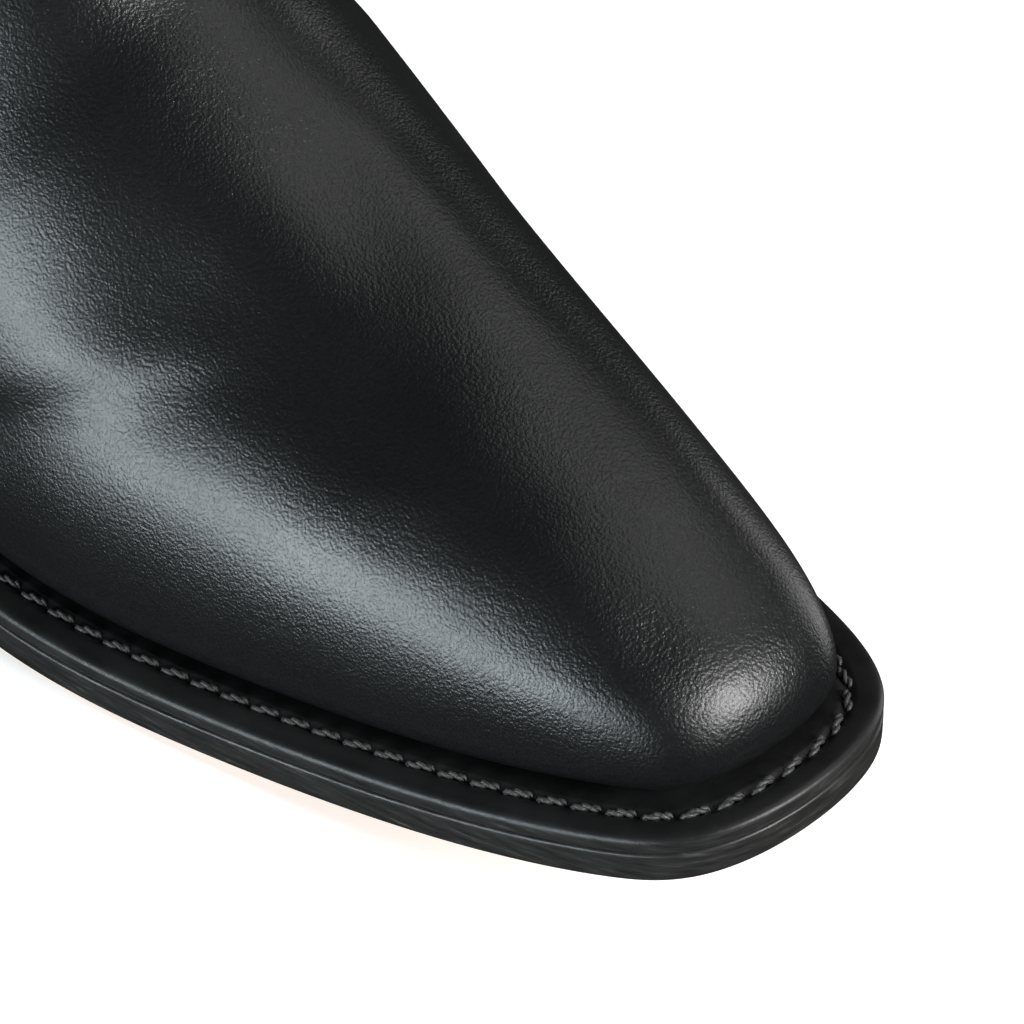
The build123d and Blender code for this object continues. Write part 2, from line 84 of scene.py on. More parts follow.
# the foot of the upper is rounded in: how high above the welt that starts, and how far it goes
TUCK_HEIGHT = 5.0
TUCK_INSET = 2.4

# the top line and its binding
SHAFT_TOP = 318.0
TOP_DIP = 34.0
TOP_MIDDLE = 66.0
TOP_REACH = 76.0
BINDING_THICKNESS = 0.8
BINDING_DEPTH = 6.5
BINDING_PUFF = 0.25

# the pull straps
STRAP_MIDDLE = 64.0
STRAP_BELOW = 62.0
STRAP_LEAN = 0.045
STRAP_HALF = 1.0
STRAP_CURL = 0.00495
LOOP_HEIGHT = 25.1
LOOP_RADIUS = 6.9
# across the strap and out from its middle line: a grooved face with rounded edges
STRAP_FACE = [(15, -0.3), (15, 0.35), (14.6, 0.72), (13.2, 0.8), (12.4, 0.62), (11.4, 0.85)]
STRAP_SECTION = ([(-14.6, -0.75)] + [(-w, h) for w, h in STRAP_FACE] + [(0, 1.0)] + STRAP_FACE[::-1]
                 + [(14.6, -0.75), (0, -0.85)])

# the side piping
PIPING_HALF = 1.5
PIPING_RISE = 1.05
PIPING_FOOT = 92.0
PIPING_BELOW = 60.0

# the seams of the upper: thread, pitch, stitch, and their places in from the edges
SEAM_THREAD = 0.5
SEAM_PITCH = 2.1
SEAM_STITCH = 1.75
SEAM_INSETS = (2.2, 4.6)
BINDING_SEAM = 4.4
PROUD = 0.02
# the welt seam: its depth in the groove, a stitch's share of the pitch, and its start before the breast
WELT_SEAM_DROP = 0.30
WELT_STITCH_SHARE = 0.98
WELT_SEAM_START = 4
# the corded rows on the shaft: heights of their lowest and highest points, and each row's step inwards
ROWS_FOOT = 168.0
ROWS_TOP = 268.0
ROW_STEPS = (0.0, 4.0, 8.0, 12.0)
ROW_PITCH = 2.4
ROW_STITCH = 2.1

# x, share of the heel's height and share of the toe spring
SOLE_LINE = [
    (-12, 1.01, 0), (25, 0.985, 0), (55, 0.91, 0), (85, 0.725, 0), (115, 0.44, 0), (142, 0.195, 0),
    (168, 0.045, 0), (190, 0, 0), (215, 0, 0.1), (245, 0, 0.42), (280, 0, 1), (292, 0, 1.24),
]
# turn from heel (0) to toe (1), lateral and medial half widths
FEATHER_LINE = [
    (0, 0, 0), (0.1, 16.5, 17.0), (0.2, 26.2, 26.8), (0.3, 28.2, 27.2), (0.4, 28.5, 24.0),
    (0.5, 33.2, 26.8), (0.6, 38.0, 34.2), (0.7, 31.9, 26.9), (0.8, 22.9, 20.3), (0.9, 14.0, 14.7),
    (0.95, 9.1, 9.7), (1, 0, 0),
]
# front x, front rise, back x, back rise, share of leg shape, half width, swell over the feather line
GIRTHS = [
    (274.3, 0.0, 2.5, 0.0, 0.0, 33.0, 0.0),
    (275.2, 3.7, -0.8, 6.1, 0.0, 33.0, 1.4),
    (274.4, 7.3, -2.5, 13.1, 0.03, 33.0, 1.8),
    (270.6, 10.6, -3.2, 20.1, 0.08, 33.0, 1.4),
    (263.2, 12.6, -3.2, 27.1, 0.16, 33.0, 0.6),
    (250.9, 14.7, -2.5, 34.1, 0.27, 31.0, 0.0),
    (231.5, 17.2, -1.0, 41.1, 0.40, 30.0, 0.0),
    (208.8, 21.4, 0.8, 49.1, 0.54, 30.0, 0.0),
    (187.0, 27.9, 2.6, 57.1, 0.67, 30.5, 0.0),
    (168.3, 39.0, 4.8, 67.1, 0.78, 31.5, 0.0),
    (152.0, 54.6, 6.8, 78.1, 0.87, 33.0, 0.0),
    (140.5, 75.7, 8.0, 93.1, 0.94, 34.5, 0.0),
    (133.2, 101.6, 7.2, 112.1, 0.98, 36.5, 0.0),
    (130.0, 132.1, 3.8, 137.1, 1.0, 38.5, 0.0),
    (132.0, 171.1, -3.0, 174.1, 1.0, 41.0, 0.0),
    (136.8, 215.1, -8.7, 217.1, 1.0, 43.5, 0.0),
    (142.0, 262.0, -12.5, 263.0, 1.0, 45.2, 0.0),
    (147.0, 322.0, -15.5, 322.0, 1.0, 45.8, 0.0),
]
# x and the welt's width
WELT_WIDTHS = [(0, 2.2), (60, 2.6), (105, 3.2), (180, 5.3), (240, 6.1), (275, 6.9)]
# the side seam seen from the side, as (z, x), and the tops of the vamp and the counter, as (x, z)
SEAM_LINE = [(10, 74), (60, 74), (100, 73), (160, 71), (250, 66), (370, 63)]
VAMP_TOP = [(60, 89), (84, 93), (97, 104), (111, 127), (126, 157), (150, 171), (190, 176)]
COUNTER_TOP = [(-30, 124), (0, 117), (24, 105), (50, 93), (72, 88), (100, 84)]
TOP_GIRTH = len(GIRTHS) - 1.05
# small steps for slopes of the skin, and how far a lowered line slides forwards for each millimetre
TURN_STEP = 2e-3
GIRTH_STEP = 0.02
LINE_SLIDE = 0.8

# where the vamp breaks across the ball: place along the foot, depth and reach of each shallow wave
BALL_WAVES = ((150.0, 0.9, 10.0), (136.0, 1.3, 11.0), (168.0, 0.5, 9.0))
# slack leather at the ankle: height, depth and reach of each wave
ANKLE_WAVES = ((112.0, 1.4, 9.0), (132.0, 1.8, 11.0), (154.0, 1.2, 10.0))
# hollows of the worn vamp: both ends of each one's middle line, its reach above and below, its depth
DENTS = (
    ((192, -20, 52), (228, -9, 46), 11.0, 14.0, 2.3),
    ((180, -38, 28), (207, -22, 44), 4.0, 8.0, 0.8),
    ((226, -12, 42), (246, -4, 42), 3.5, 3.5, 0.35),
    ((231, -16, 38), (243, -8, 40), 3.0, 4.0, 0.30),
    ((196, 6, 60), (216, 0, 54), 9.0, 9.0, 0.9),
    ((262, -5, 36), (272, -4, 24), 5.0, 5.0, 0.35),
)
ROOT = "root"


class Smooth:
    """A smooth y(x) through points, straight beyond both ends."""

    def __init__(self, points):
        self.x = np.array([p[0] for p in points], float)
        self.y = np.array([p[1] for p in points], float)
        gap = np.diff(self.x)
        rise = np.diff(self.y) / gap
        n = len(points)
        matrix = np.eye(n)
        right = np.zeros(n)
        for i in range(1, n - 1):
            matrix[i, i - 1:i + 2] = (gap[i - 1], 2 * (gap[i - 1] + gap[i]), gap[i])
            right[i] = 6 * (rise[i] - rise[i - 1])
        self.bend = np.linalg.solve(matrix, right)
        self.gap = gap
        self.start_slope = rise[0] - gap[0] * self.bend[1] / 6
        self.end_slope = rise[-1] + gap[-1] * self.bend[-2] / 6

    def __call__(self, x):
        x = np.asarray(x, float)
        i = np.clip(np.searchsorted(self.x, x, side="right") - 1, 0, len(self.gap) - 1)
        a = (self.x[i + 1] - x) / self.gap[i]
        b = (x - self.x[i]) / self.gap[i]
        cubic = ((a**3 - a) * self.bend[i] + (b**3 - b) * self.bend[i + 1]) * self.gap[i] ** 2 / 6
        y = a * self.y[i] + b * self.y[i + 1] + cubic
        y = np.where(x < self.x[0], self.y[0] + self.start_slope * (x - self.x[0]), y)
        return np.where(x > self.x[-1], self.y[-1] + self.end_slope * (x - self.x[-1]), y)


def ease(start, end, x):
    """0 at the start, 1 at the end, smooth between."""
    u = np.clip((np.asarray(x, float) - start) / (end - start), 0, 1)
    return u * u * (3 - 2 * u)


def hump(x, middle, reach):
    """1 at the middle, 0 beyond the reach, smooth between."""
    u = np.clip(np.abs(np.asarray(x, float) - middle) / reach, 0, 1)
    return (1 - u * u) ** 2


welt_top = Smooth([(x, SOLE_THICKNESS + HEEL_HEIGHT * h + TOE_SPRING * t) for x, h, t in SOLE_LINE])
lateral_width = Smooth([(a, w) for a, w, _ in FEATHER_LINE])
medial_width = Smooth([(a, w) for a, _, w in FEATHER_LINE])
welt_width = Smooth(WELT_WIDTHS)
girth_curves = [Smooth(list(enumerate(column))) for column in zip(*GIRTHS)]
seam_x = Smooth(SEAM_LINE)
vamp_top = Smooth(VAMP_TOP)
counter_top = Smooth(COUNTER_TOP)
SEAT_Z = float(welt_top(SEAT_X))
TOE_Z = float(welt_top(SEAT_X + FEATHER_LENGTH))


def toe_swing(x):
    """How far the last swings over to the medial side."""
    return TOE_SWING * ease(130, 275, x)


def skin_point(k, t):
    """Points of the outer skin, (..., 3), at girths k and turns t (0 heel, -1 and 1 toe)."""
    k, t = np.broadcast_arrays(np.asarray(k, float), np.asarray(t, float))
    t = (t + 1) % 2 - 1
    front_x, front_rise, back_x, back_rise, leg, half, full = [curve(k) for curve in girth_curves]
    leg = np.clip(leg, 0, 1)
    full = np.maximum(full, 0)
    front_base = TOE_Z + leg * (SEAT_Z - TOE_Z)
    a = np.abs(t)
    s = (1 - np.cos(np.pi * a)) / 2
    round_part = np.maximum(np.sin(np.pi * a), 0)
    sole_width = np.where(t < 0, lateral_width(a), medial_width(a))
    width = (1 - leg) * (sole_width + full * round_part**0.5) + leg * half * round_part
    x = back_x + (front_x - back_x) * s
    y = np.sign(t) * width + toe_swing(x)
    front_z = front_base + front_rise
    back_z = SEAT_Z + back_rise
    following = welt_top(SEAT_X + FEATHER_LENGTH * s) + (1 - s) * (back_z - SEAT_Z) + s * (front_z - TOE_Z)
    leaving = ease(0, LEAVES_SOLE, k)
    z = (1 - leaving) * following + leaving * (back_z + (front_z - back_z) * s)
    return np.stack([x, y, z], -1)


def unit(v):
    """Vectors of length 1."""
    return v / np.maximum(np.linalg.norm(v, axis=-1, keepdims=True), 1e-9)


def skin_normal(k, t):
    """Outward normals of the skin."""
    k, t = np.broadcast_arrays(np.asarray(k, float), np.asarray(t, float))
    around = skin_point(k, t + TURN_STEP) - skin_point(k, t - TURN_STEP)
    above = skin_point(np.minimum(k + GIRTH_STEP, len(GIRTHS) - 1), t)
    up = above - skin_point(np.maximum(k - GIRTH_STEP, 0), t)
    return unit(np.cross(up, around))


def skin(k, t, depth):
    """Points at a depth below the skin, and the skin's normals."""
    normal = skin_normal(k, t)
    return skin_point(k, t) - normal * np.asarray(depth, float)[..., None], normal


def from_rim(t, inset, drop):
    """Points in from the welt's edge by an inset, and below the welt's top by a drop."""
    foot = skin_point(0 * t, t)
    around = skin_point(0 * t, t + TURN_STEP) - skin_point(0 * t, t - TURN_STEP)
    outward = unit(np.stack([-around[..., 1], around[..., 0], 0 * t], -1))
    point = foot + outward * (welt_width(foot[..., 0]) - inset)[..., None]
    point[..., 2] = welt_top(point[..., 0]) - drop
    return point


# the frame is the drawing moved along x, by as much as its shank is
SHANK_MIDDLE = 84.0
FRAME_SHIFT = sum(corner[0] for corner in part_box("steel_shank")) * 500 - SHANK_MIDDLE


def to_frame(points):
    """Drawing millimetres to the frame's metres."""
    moved = np.array(points, float)
    moved[..., 0] += FRAME_SHIFT
    return moved * 0.001


def seam_turn(k):
    """How far round each girth the side seam lies."""
    k = np.asarray(k, float)
    x_back = girth_curves[2](k)
    x_front = girth_curves[0](k)
    turn = np.full_like(k, 0.35)
    for _ in range(4):
        z = skin_point(k, turn)[..., 2]
        s = np.clip((seam_x(z) - x_back) / (x_front - x_back), 0.01, 0.99)
        turn = np.arccos(1 - 2 * s) / math.pi
    return turn


def front_turn(k, u):
    """Turn of the front half: u from the lateral seam (-1) by way of the toe (0) to the medial one."""
    side = np.where(u < 0, -1.0, 1.0)
    return side * (1 - np.abs(u) * (1 - seam_turn(k)))


def back_turn(k, u):
    """Turn of the back half: u from the lateral seam (-1) by way of the heel (0) to the medial one."""
    return u * seam_turn(k)


def whole_turn(k, u):
    """Turn all the way round, from toe to toe."""
    return u


def top_line(x):
    """Height of the scalloped top line, which dips at the front and the back."""
    return SHAFT_TOP - TOP_DIP * np.abs((x - TOP_MIDDLE) / TOP_REACH) ** 2.2


def turn_at(x):
    """Turn at which the feather line passes x."""
    return np.arccos(1 - 2 * (x - SEAT_X) / FEATHER_LENGTH) / math.pi


def girth_where(turn_of, u, line, shift=0.0):
    """The girth at which each column meets a side-view line z(x), moved down and forwards by shift."""
    low = np.zeros_like(u)
    high = np.full_like(u, TOP_GIRTH)
    for _ in range(24):
        middle = (low + high) / 2
        p = skin_point(middle, turn_of(middle, u))
        under = p[..., 2] < line(p[..., 0] - LINE_SLIDE * shift) - shift
        low = np.where(under, middle, low)
        high = np.where(under, high, middle)
    return (low + high) / 2


def evened(turn_of, u, start, end, count, crowd=1.0):
    """Girths, (len(u), count), evenly spaced by length from start to end in each column."""
    fine = np.linspace(0, 1, 160)
    k = start[:, None] + (end - start)[:, None] * fine
    p = skin_point(k, turn_of(k, u[:, None] + 0 * k))
    step = np.linalg.norm(np.diff(p, axis=1), axis=2)
    run = np.concatenate([np.zeros((len(u), 1)), np.cumsum(step, axis=1)], axis=1)
    run /= run[:, -1:]
    want = np.linspace(0, 1, count) ** crowd
    return np.stack([np.interp(want, run[i], k[i]) for i in range(len(u))])


# ---- meshes ----

# points of a piece that are nearer than this, in metres, are one
MERGE = 2e-5


def placed(name, data):
    """A new object at the origin, in the scene."""
    obj = bpy.data.objects.new(name, data)
    bpy.context.scene.collection.objects.link(obj)
    return obj


def mesh_object(name, vertices, faces):
    """A mesh object from vertices in the frame's metres."""
    mesh = bpy.data.meshes.new(name)
    mesh.from_pydata([tuple(v) for v in vertices], [], faces)
    mesh.validate()
    return placed(name, mesh)


def outwards(mesh, distance=None):
    """Merges doubles, if a distance is given, and points every face outwards."""
    bm = bmesh.new()
    bm.from_mesh(mesh)
    if distance:
        bmesh.ops.remove_doubles(bm, verts=bm.verts, dist=distance)
    bmesh.ops.recalc_face_normals(bm, faces=bm.faces)
    bm.to_mesh(mesh)
    bm.free()
    mesh.shade_smooth()


def solid(name, points, faces):
    """A closed piece from points in drawing millimetres."""
    obj = mesh_object(name, to_frame(points), faces)
    outwards(obj.data, MERGE)
    return obj


def grid_faces(columns, rows, start=0):
    """Quads between the points of a grid, whose first point is number start."""
    corners = [start + i * rows + j for i in range(columns - 1) for j in range(rows - 1)]
    return [(a, a + 1, a + rows + 1, a + rows) for a in corners]


def sheet_shell(name, outer, inner):
    """A closed leather piece between two grids of the same size, (columns, rows, 3)."""
    columns, rows = outer.shape[:2]
    count = columns * rows
    points = np.concatenate([outer.reshape(-1, 3), inner.reshape(-1, 3)])
    faces = grid_faces(columns, rows) + [quad[::-1] for quad in grid_faces(columns, rows, count)]
    for i in range(columns - 1):
        for j, turn in ((0, False), (rows - 1, True)):
            a = i * rows + j
            quad = (a, a + rows, a + rows + count, a + count)
            faces.append(quad[::-1] if turn else quad)
    for j in range(rows - 1):
        for i, turn in ((0, True), (columns - 1, False)):
            a = i * rows + j
            quad = (a, a + 1, a + 1 + count, a + count)
            faces.append(quad[::-1] if turn else quad)
    return solid(name, points, faces)


def swept(name, sections, closed_path=False):
    """A closed section (n, m, 3) carried along a path of n places, capped at both ends."""
    n, m = sections.shape[:2]
    faces = []
    for i in range(n if closed_path else n - 1):
        for j in range(m):
            a = i * m + j
            b = i * m + (j + 1) % m
            c = ((i + 1) % n) * m + (j + 1) % m
            d = ((i + 1) % n) * m + j
            faces.append((a, b, c, d))
    if not closed_path:
        faces.append(tuple(range(m)))
        faces.append(tuple(range((n - 1) * m, n * m))[::-1])
    return solid(name, sections.reshape(-1, 3), faces)


# ---- materials ----


class Value:
    """A shader socket that can be used in Python expressions."""

    def __init__(self, shader, socket):
        self.shader = shader
        self.socket = socket

    def _with(self, operation, other, swap=False):
        pair = (other, self) if swap else (self, other)
        return self.shader.node("ShaderNodeMath", {"operation": operation}, list(pair))

    def __add__(self, other):
        return self._with("ADD", other)

    def __radd__(self, other):
        return self._with("ADD", other)

    def __sub__(self, other):
        return self._with("SUBTRACT", other)

    def __rsub__(self, other):
        return self._with("SUBTRACT", other, True)

    def __mul__(self, other):
        return self._with("MULTIPLY", other)

    def __rmul__(self, other):
        return self._with("MULTIPLY", other)


class Shader:
    """Builds one material's node tree."""

    def __init__(self, name, **fixed):
        self.material = bpy.data.materials.new(name)
        self.material.use_nodes = True
        self.tree = self.material.node_tree
        self.tree.nodes.clear()
        self.surface = self.tree.nodes.new("ShaderNodeBsdfPrincipled")
        output = self.tree.nodes.new("ShaderNodeOutputMaterial")
        self.tree.links.new(self.surface.outputs["BSDF"], output.inputs["Surface"])
        for key, value in fixed.items():
            self.surface.inputs[key.replace("_", " ")].default_value = value

    def node(self, kind, settings=None, inputs=None, output=0):
        made = self.tree.nodes.new(kind)
        for key, value in (settings or {}).items():
            if key == "stops":
                ramp = made.color_ramp
                while len(ramp.elements) < len(value):
                    ramp.elements.new(0.5)
                for element, (position, colour) in zip(ramp.elements, value):
                    element.position = position
                    element.color = colour
            else:
                setattr(made, key, value)
        pairs = inputs.items() if isinstance(inputs, dict) else enumerate(inputs or [])
        for key, value in pairs:
            if isinstance(value, Value):
                self.tree.links.new(value.socket, made.inputs[key])
            else:
                made.inputs[key].default_value = value
        return Value(self, made.outputs[output])

    def place(self, stretch=(1, 1, 1)):
        here = self.node("ShaderNodeTexCoord", output="Object")
        return self.node("ShaderNodeMapping", None, {"Vector": here, "Scale": stretch})

    def noise(self, where, scale, detail=2.0, roughness=0.5):
        return self.node("ShaderNodeTexNoise", None,
                         {"Vector": where, "Scale": scale, "Detail": detail, "Roughness": roughness})

    def cells(self, where, scale, feature="F1", output="Distance"):
        return self.node("ShaderNodeTexVoronoi", {"feature": feature}, {"Vector": where, "Scale": scale},
                         output)

    def waves(self, where, scale, distortion, direction):
        return self.node("ShaderNodeTexWave", {"bands_direction": direction},
                         {"Vector": where, "Scale": scale, "Distortion": distortion, "Detail": 2.0})

    def ramp(self, value, stops):
        full = [(p, (c, c, c, 1) if isinstance(c, (int, float)) else (*c, 1)) for p, c in stops]
        return self.node("ShaderNodeValToRGB", {"stops": full}, {"Fac": value})

    def feed(self, socket, value):
        self.tree.links.new(value.socket, self.surface.inputs[socket])

    def spread(self, value, low, high, least, most):
        """Carries low..high over to least..most."""
        return self.node("ShaderNodeMapRange", None, {"Value": value, "From Min": low, "From Max": high,
                                                      "To Min": least, "To Max": most})

    def bump(self, height, depth, strength):
        return self.node("ShaderNodeBump", None, {"Height": height, "Distance": depth, "Strength": strength})

    def dressed(self, pattern, colours, rough, depth, strength, height=None, wear=None):
        """Colour, roughness and bump from one pattern, unless the last two have their own."""
        self.feed("Base Color", self.ramp(pattern, colours))
        self.feed("Roughness", self.ramp(wear or pattern, rough))
        self.feed("Normal", self.bump(height or pattern, depth, strength))
        return self.material


def black_leather():
    """Smooth black calf with a fine pebbled grain."""
    look = bpy.context.scene.boot_look
    s = Shader("black_leather", Coat_Weight=0.12, Coat_Roughness=0.22)
    where = s.place()
    bend = s.noise(where, 1500.0)
    warp = s.node("ShaderNodeVectorMath", {"operation": "MULTIPLY_ADD"},
                  [s.node("ShaderNodeTexNoise", None, {"Vector": where, "Scale": 900.0}, "Color"),
                   (0.0005, 0.0005, 0.0005), where])
    grain = s.cells(warp, 1000.0 / look.grain_size, "SMOOTH_F1")
    fine = s.cells(warp, 2600.0 / look.grain_size)
    broad = s.noise(where, 60.0, 3.0)
    dark = tuple(look.leather_colour)
    pale = tuple(min(1.0, c * 1.6) for c in dark)
    s.feed("Base Color", s.ramp(grain * 0.6 + broad * 0.5, [(0.3, pale), (0.75, dark)]))
    shine = look.leather_roughness
    s.feed("Roughness", s.spread(broad, 0.3, 0.7, shine - 0.03, shine + 0.05))
    s.feed("Normal", s.bump((1 - grain) + (1 - fine) * 0.25 + bend * 0.5, 0.00009, look.grain_strength))
    return s.material


def welt_leather():
    """Firm waxed leather of the welt and its rand, finer in grain than the upper."""
    s = Shader("welt_leather", Specular_IOR_Level=0.45)
    where = s.place()
    fine = s.noise(where, 1500.0, 4.0, 0.65)
    broad = s.noise(where, 120.0, 3.0)
    s.feed("Base Color", s.ramp(broad, [(0.3, 0.006), (0.7, 0.016)]))
    s.feed("Roughness", s.spread(fine + broad * 0.6, 0.5, 1.1, 0.34, 0.5))
    s.feed("Normal", s.bump(fine, 0.00008, 0.5))
    return s.material


def sole_edge():
    """Burnished black edge: fine lines run along it and a few scuffs cross it."""
    s = Shader("sole_edge", Coat_Roughness=0.3)
    lines = s.noise(s.place((1, 1, 9)), 160.0, 6.0, 0.7)
    scuffs = s.noise(s.place((0.6, 0.6, 5)), 300.0, 3.0)
    broad = s.noise(s.place(), 55.0, 3.0)
    s.feed("Base Color", s.ramp(lines, [(0.35, 0.010), (0.58, (0.024, 0.024, 0.023)),
                                        (0.7, (0.06, 0.058, 0.055))]))
    s.feed("Roughness", s.spread(broad * 0.6 + scuffs * 0.5, 0.4, 0.7, 0.3, 0.46))
    s.feed("Normal", s.bump(lines + scuffs * 0.5, 0.00012, 0.5))
    return s.material


def natural_leather():
    """Vegetable tanned leather of the lining, sock and tread."""
    s = Shader("natural_leather", Specular_IOR_Level=0.35)
    where = s.place()
    broad = s.noise(where, 45.0, 5.0, 0.6)
    pores = s.cells(where, 1400.0)
    colours = [(0.3, (0.30, 0.17, 0.085)), (0.5, (0.40, 0.245, 0.13)), (0.7, (0.48, 0.31, 0.175))]
    return s.dressed(broad, colours, [(0.3, 0.5), (0.7, 0.64)], 0.00006, 0.5, height=pores + broad)


def waxed_thread():
    """Waxed black thread, its fibres in shades from black to dark grey."""
    s = Shader("waxed_thread")
    fibres = s.noise(s.place(), 3500.0, 3.0)
    colours = [(0.35, 0.03), (0.7, (0.09, 0.09, 0.088))]
    return s.dressed(fibres, colours, [(0.3, 0.38), (0.7, 0.55)], 0.00006, 0.6)


def stacked_leather():
    """Black stained heel lifts with the layers' fine lines."""
    s = Shader("stacked_leather")
    layers = s.noise(s.place((1, 1, 14)), 120.0, 5.0, 0.7)
    broad = s.noise(s.place(), 60.0, 3.0)
    colours = [(0.35, 0.008), (0.65, (0.025, 0.023, 0.021))]
    return s.dressed(layers, colours, [(0.35, 0.28), (0.7, 0.42)], 0.00015, 0.5, wear=broad)


def heel_rubber():
    """Gritty black rubber of the heel's top lift."""
    s = Shader("heel_rubber", Specular_IOR_Level=0.35)
    grit = s.noise(s.place(), 900.0, 4.0)
    return s.dressed(grit, [(0.3, 0.014), (0.7, 0.03)], [(0.3, 0.62), (0.7, 0.8)], 0.0001, 0.5)


def nail_brass():
    """Worn brass of the heel nails."""
    s = Shader("nail_brass", Metallic=1.0)
    worn = s.noise(s.place(), 1200.0, 4.0)
    colours = [(0.3, (0.48, 0.31, 0.10)), (0.7, (0.74, 0.52, 0.22))]
    return s.dressed(worn, colours, [(0.3, 0.24), (0.7, 0.46)], 0.00004, 0.4)


def spring_steel():
    """Steel of the shank, brushed along its length."""
    s = Shader("spring_steel", Metallic=1.0)
    brushed = s.noise(s.place((1, 30, 30)), 40.0, 4.0)
    colours = [(0.3, (0.36, 0.37, 0.39)), (0.7, (0.55, 0.56, 0.58))]
    return s.dressed(brushed, colours, [(0.3, 0.28), (0.7, 0.45)], 0.00003, 0.4)


def peg_wood():
    """Pale wood of the waist pegs."""
    s = Shader("peg_wood", Specular_IOR_Level=0.3)
    grain = s.waves(s.place((1, 1, 0.2)), 900.0, 4.0, "X")
    colours = [(0.2, (0.42, 0.27, 0.14)), (0.8, (0.66, 0.49, 0.30))]
    return s.dressed(grain, colours, [(0.2, 0.55), (0.8, 0.7)], 0.00004, 0.4)


def cork():
    """Crumbled cork of the filler."""
    s = Shader("cork", Specular_IOR_Level=0.25)
    where = s.place()
    crumbs = s.cells(where, 420.0)
    fleck = s.noise(where, 700.0, 3.0)
    speckled = crumbs * 0.6 + fleck * 0.5
    colours = [(0.25, (0.42, 0.26, 0.13)), (0.6, (0.28, 0.16, 0.08)), (0.85, (0.10, 0.055, 0.03))]
    return s.dressed(speckled, colours, [(0.3, 0.75), (0.7, 0.9)], 0.0003, 0.7, crumbs, fleck)


def fibre_board():
    """Pressed fibres of the puff and the stiffener."""
    s = Shader("fibre_board", Specular_IOR_Level=0.25)
    fibres = s.noise(s.place((1, 1, 3)), 500.0, 5.0, 0.7)
    colours = [(0.3, (0.24, 0.17, 0.11)), (0.7, (0.36, 0.28, 0.19))]
    return s.dressed(fibres, colours, [(0.3, 0.7), (0.7, 0.85)], 0.0001, 0.5)


def backing_cloth():
    """Plain weave of the vamp's backer."""
    s = Shader("backing_cloth", Specular_IOR_Level=0.2)
    weave = s.waves(s.place(), 700.0, 0.3, "X") * s.waves(s.place(), 700.0, 0.3, "Z")
    colours = [(0.1, (0.50, 0.47, 0.41)), (0.8, (0.74, 0.71, 0.64))]
    return s.dressed(weave, colours, [(0.1, 0.8), (0.8, 0.92)], 0.0001, 0.6)


FINISHES = {}


def finish_of(maker):
    """One material of each finish, made when it is first asked for."""
    if maker not in FINISHES:
        FINISHES[maker] = maker()
    return FINISHES[maker]


def settle(obj, finish, slot, *nodes):
    """Gives a finished piece its material and body, and hides the CAD nodes that it stands for. The slot is
    not used.
    """
    if not obj.data.materials:
        obj.data.materials.append(finish_of(finish))
    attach(obj, ROOT)
    if nodes:
        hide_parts(*nodes)


# ---- stitches ----


def thread_pair(name, sides=5, steps=7, twist=1.4):
    """One stitch, 1 long and 1 thick: two plies twisted together, dipping into their holes."""
    ply_radius = 0.3
    ply_offset = 0.22
    points = []
    faces = []
    for ply in (0, 1):
        start = len(points)
        for i in range(steps + 1):
            u = i / steps
            angle = math.pi * (ply + 2 * twist * u)
            dip = -0.9 * abs(2 * u - 1) ** 5
            lie = 0.05 + 0.25 * (1 - abs(2 * u - 1) ** 3)
            middle = (u - 0.5, ply_offset * math.cos(angle), lie + dip + ply_offset * math.sin(angle))
            for j in range(sides):
                turn = 2 * math.pi * j / sides
                points.append((middle[0], middle[1] + ply_radius * math.cos(turn),
                               middle[2] + ply_radius * math.sin(turn)))
        for i in range(steps):
            for j in range(sides):
                a = start + i * sides + j
                b = start + i * sides + (j + 1) % sides
                faces.append((a, a + sides, b + sides, b))
        faces.append(tuple(start + j for j in range(sides)))
        faces.append(tuple(start + steps * sides + j for j in reversed(range(sides))))
    obj = mesh_object(name, points, faces)
    outwards(obj.data)
    return obj


def stitch_tree():
    """Puts one stitch on every point, turned by the point's own angles."""
    tree = bpy.data.node_groups.get("stitch_row")
    if tree:
        return tree
    tree = bpy.data.node_groups.new("stitch_row", "GeometryNodeTree")
    for name, kind in (("Points", "Geometry"), ("Length", "Float"), ("Thickness", "Float"),
                       ("Stitch", "Object"), ("Thread", "Material")):
        tree.interface.new_socket(name, in_out="INPUT", socket_type="NodeSocket" + kind)
    tree.interface.new_socket("Stitches", in_out="OUTPUT", socket_type="NodeSocketGeometry")
    make = tree.nodes.new
    start = make("NodeGroupInput")
    size = make("ShaderNodeCombineXYZ")
    turn = make("GeometryNodeInputNamedAttribute")
    turn.data_type = "FLOAT_VECTOR"
    turn.inputs["Name"].default_value = "turn"
    source = make("GeometryNodeObjectInfo")
    spread = make("GeometryNodeInstanceOnPoints")
    real = make("GeometryNodeRealizeInstances")
    paint = make("GeometryNodeSetMaterial")
    finish = make("NodeGroupOutput")
    for source_node, output, target, socket in (
        (start, "Length", size, "X"), (start, "Thickness", size, "Y"), (start, "Thickness", size, "Z"),
        (start, "Stitch", source, "Object"), (start, "Points", spread, "Points"),
        (source, "Geometry", spread, "Instance"), (turn, "Attribute", spread, "Rotation"),
        (size, "Vector", spread, "Scale"), (spread, "Instances", real, "Geometry"),
        (real, "Geometry", paint, "Geometry"), (start, "Thread", paint, "Material"),
        (paint, "Geometry", finish, "Stitches"),
    ):
        tree.links.new(source_node.outputs[output], target.inputs[socket])
    return tree


def along(path, pitch):
    """Places every pitch along a polyline (n, 3), as fractional indices into it."""
    step = np.linalg.norm(np.diff(path, axis=0), axis=1)
    run = np.concatenate([[0], np.cumsum(step)])
    count = max(1, int(round(run[-1] / pitch)))
    want = (np.arange(count) + 0.5) * run[-1] / count
    return np.interp(want, run, np.arange(len(path)))


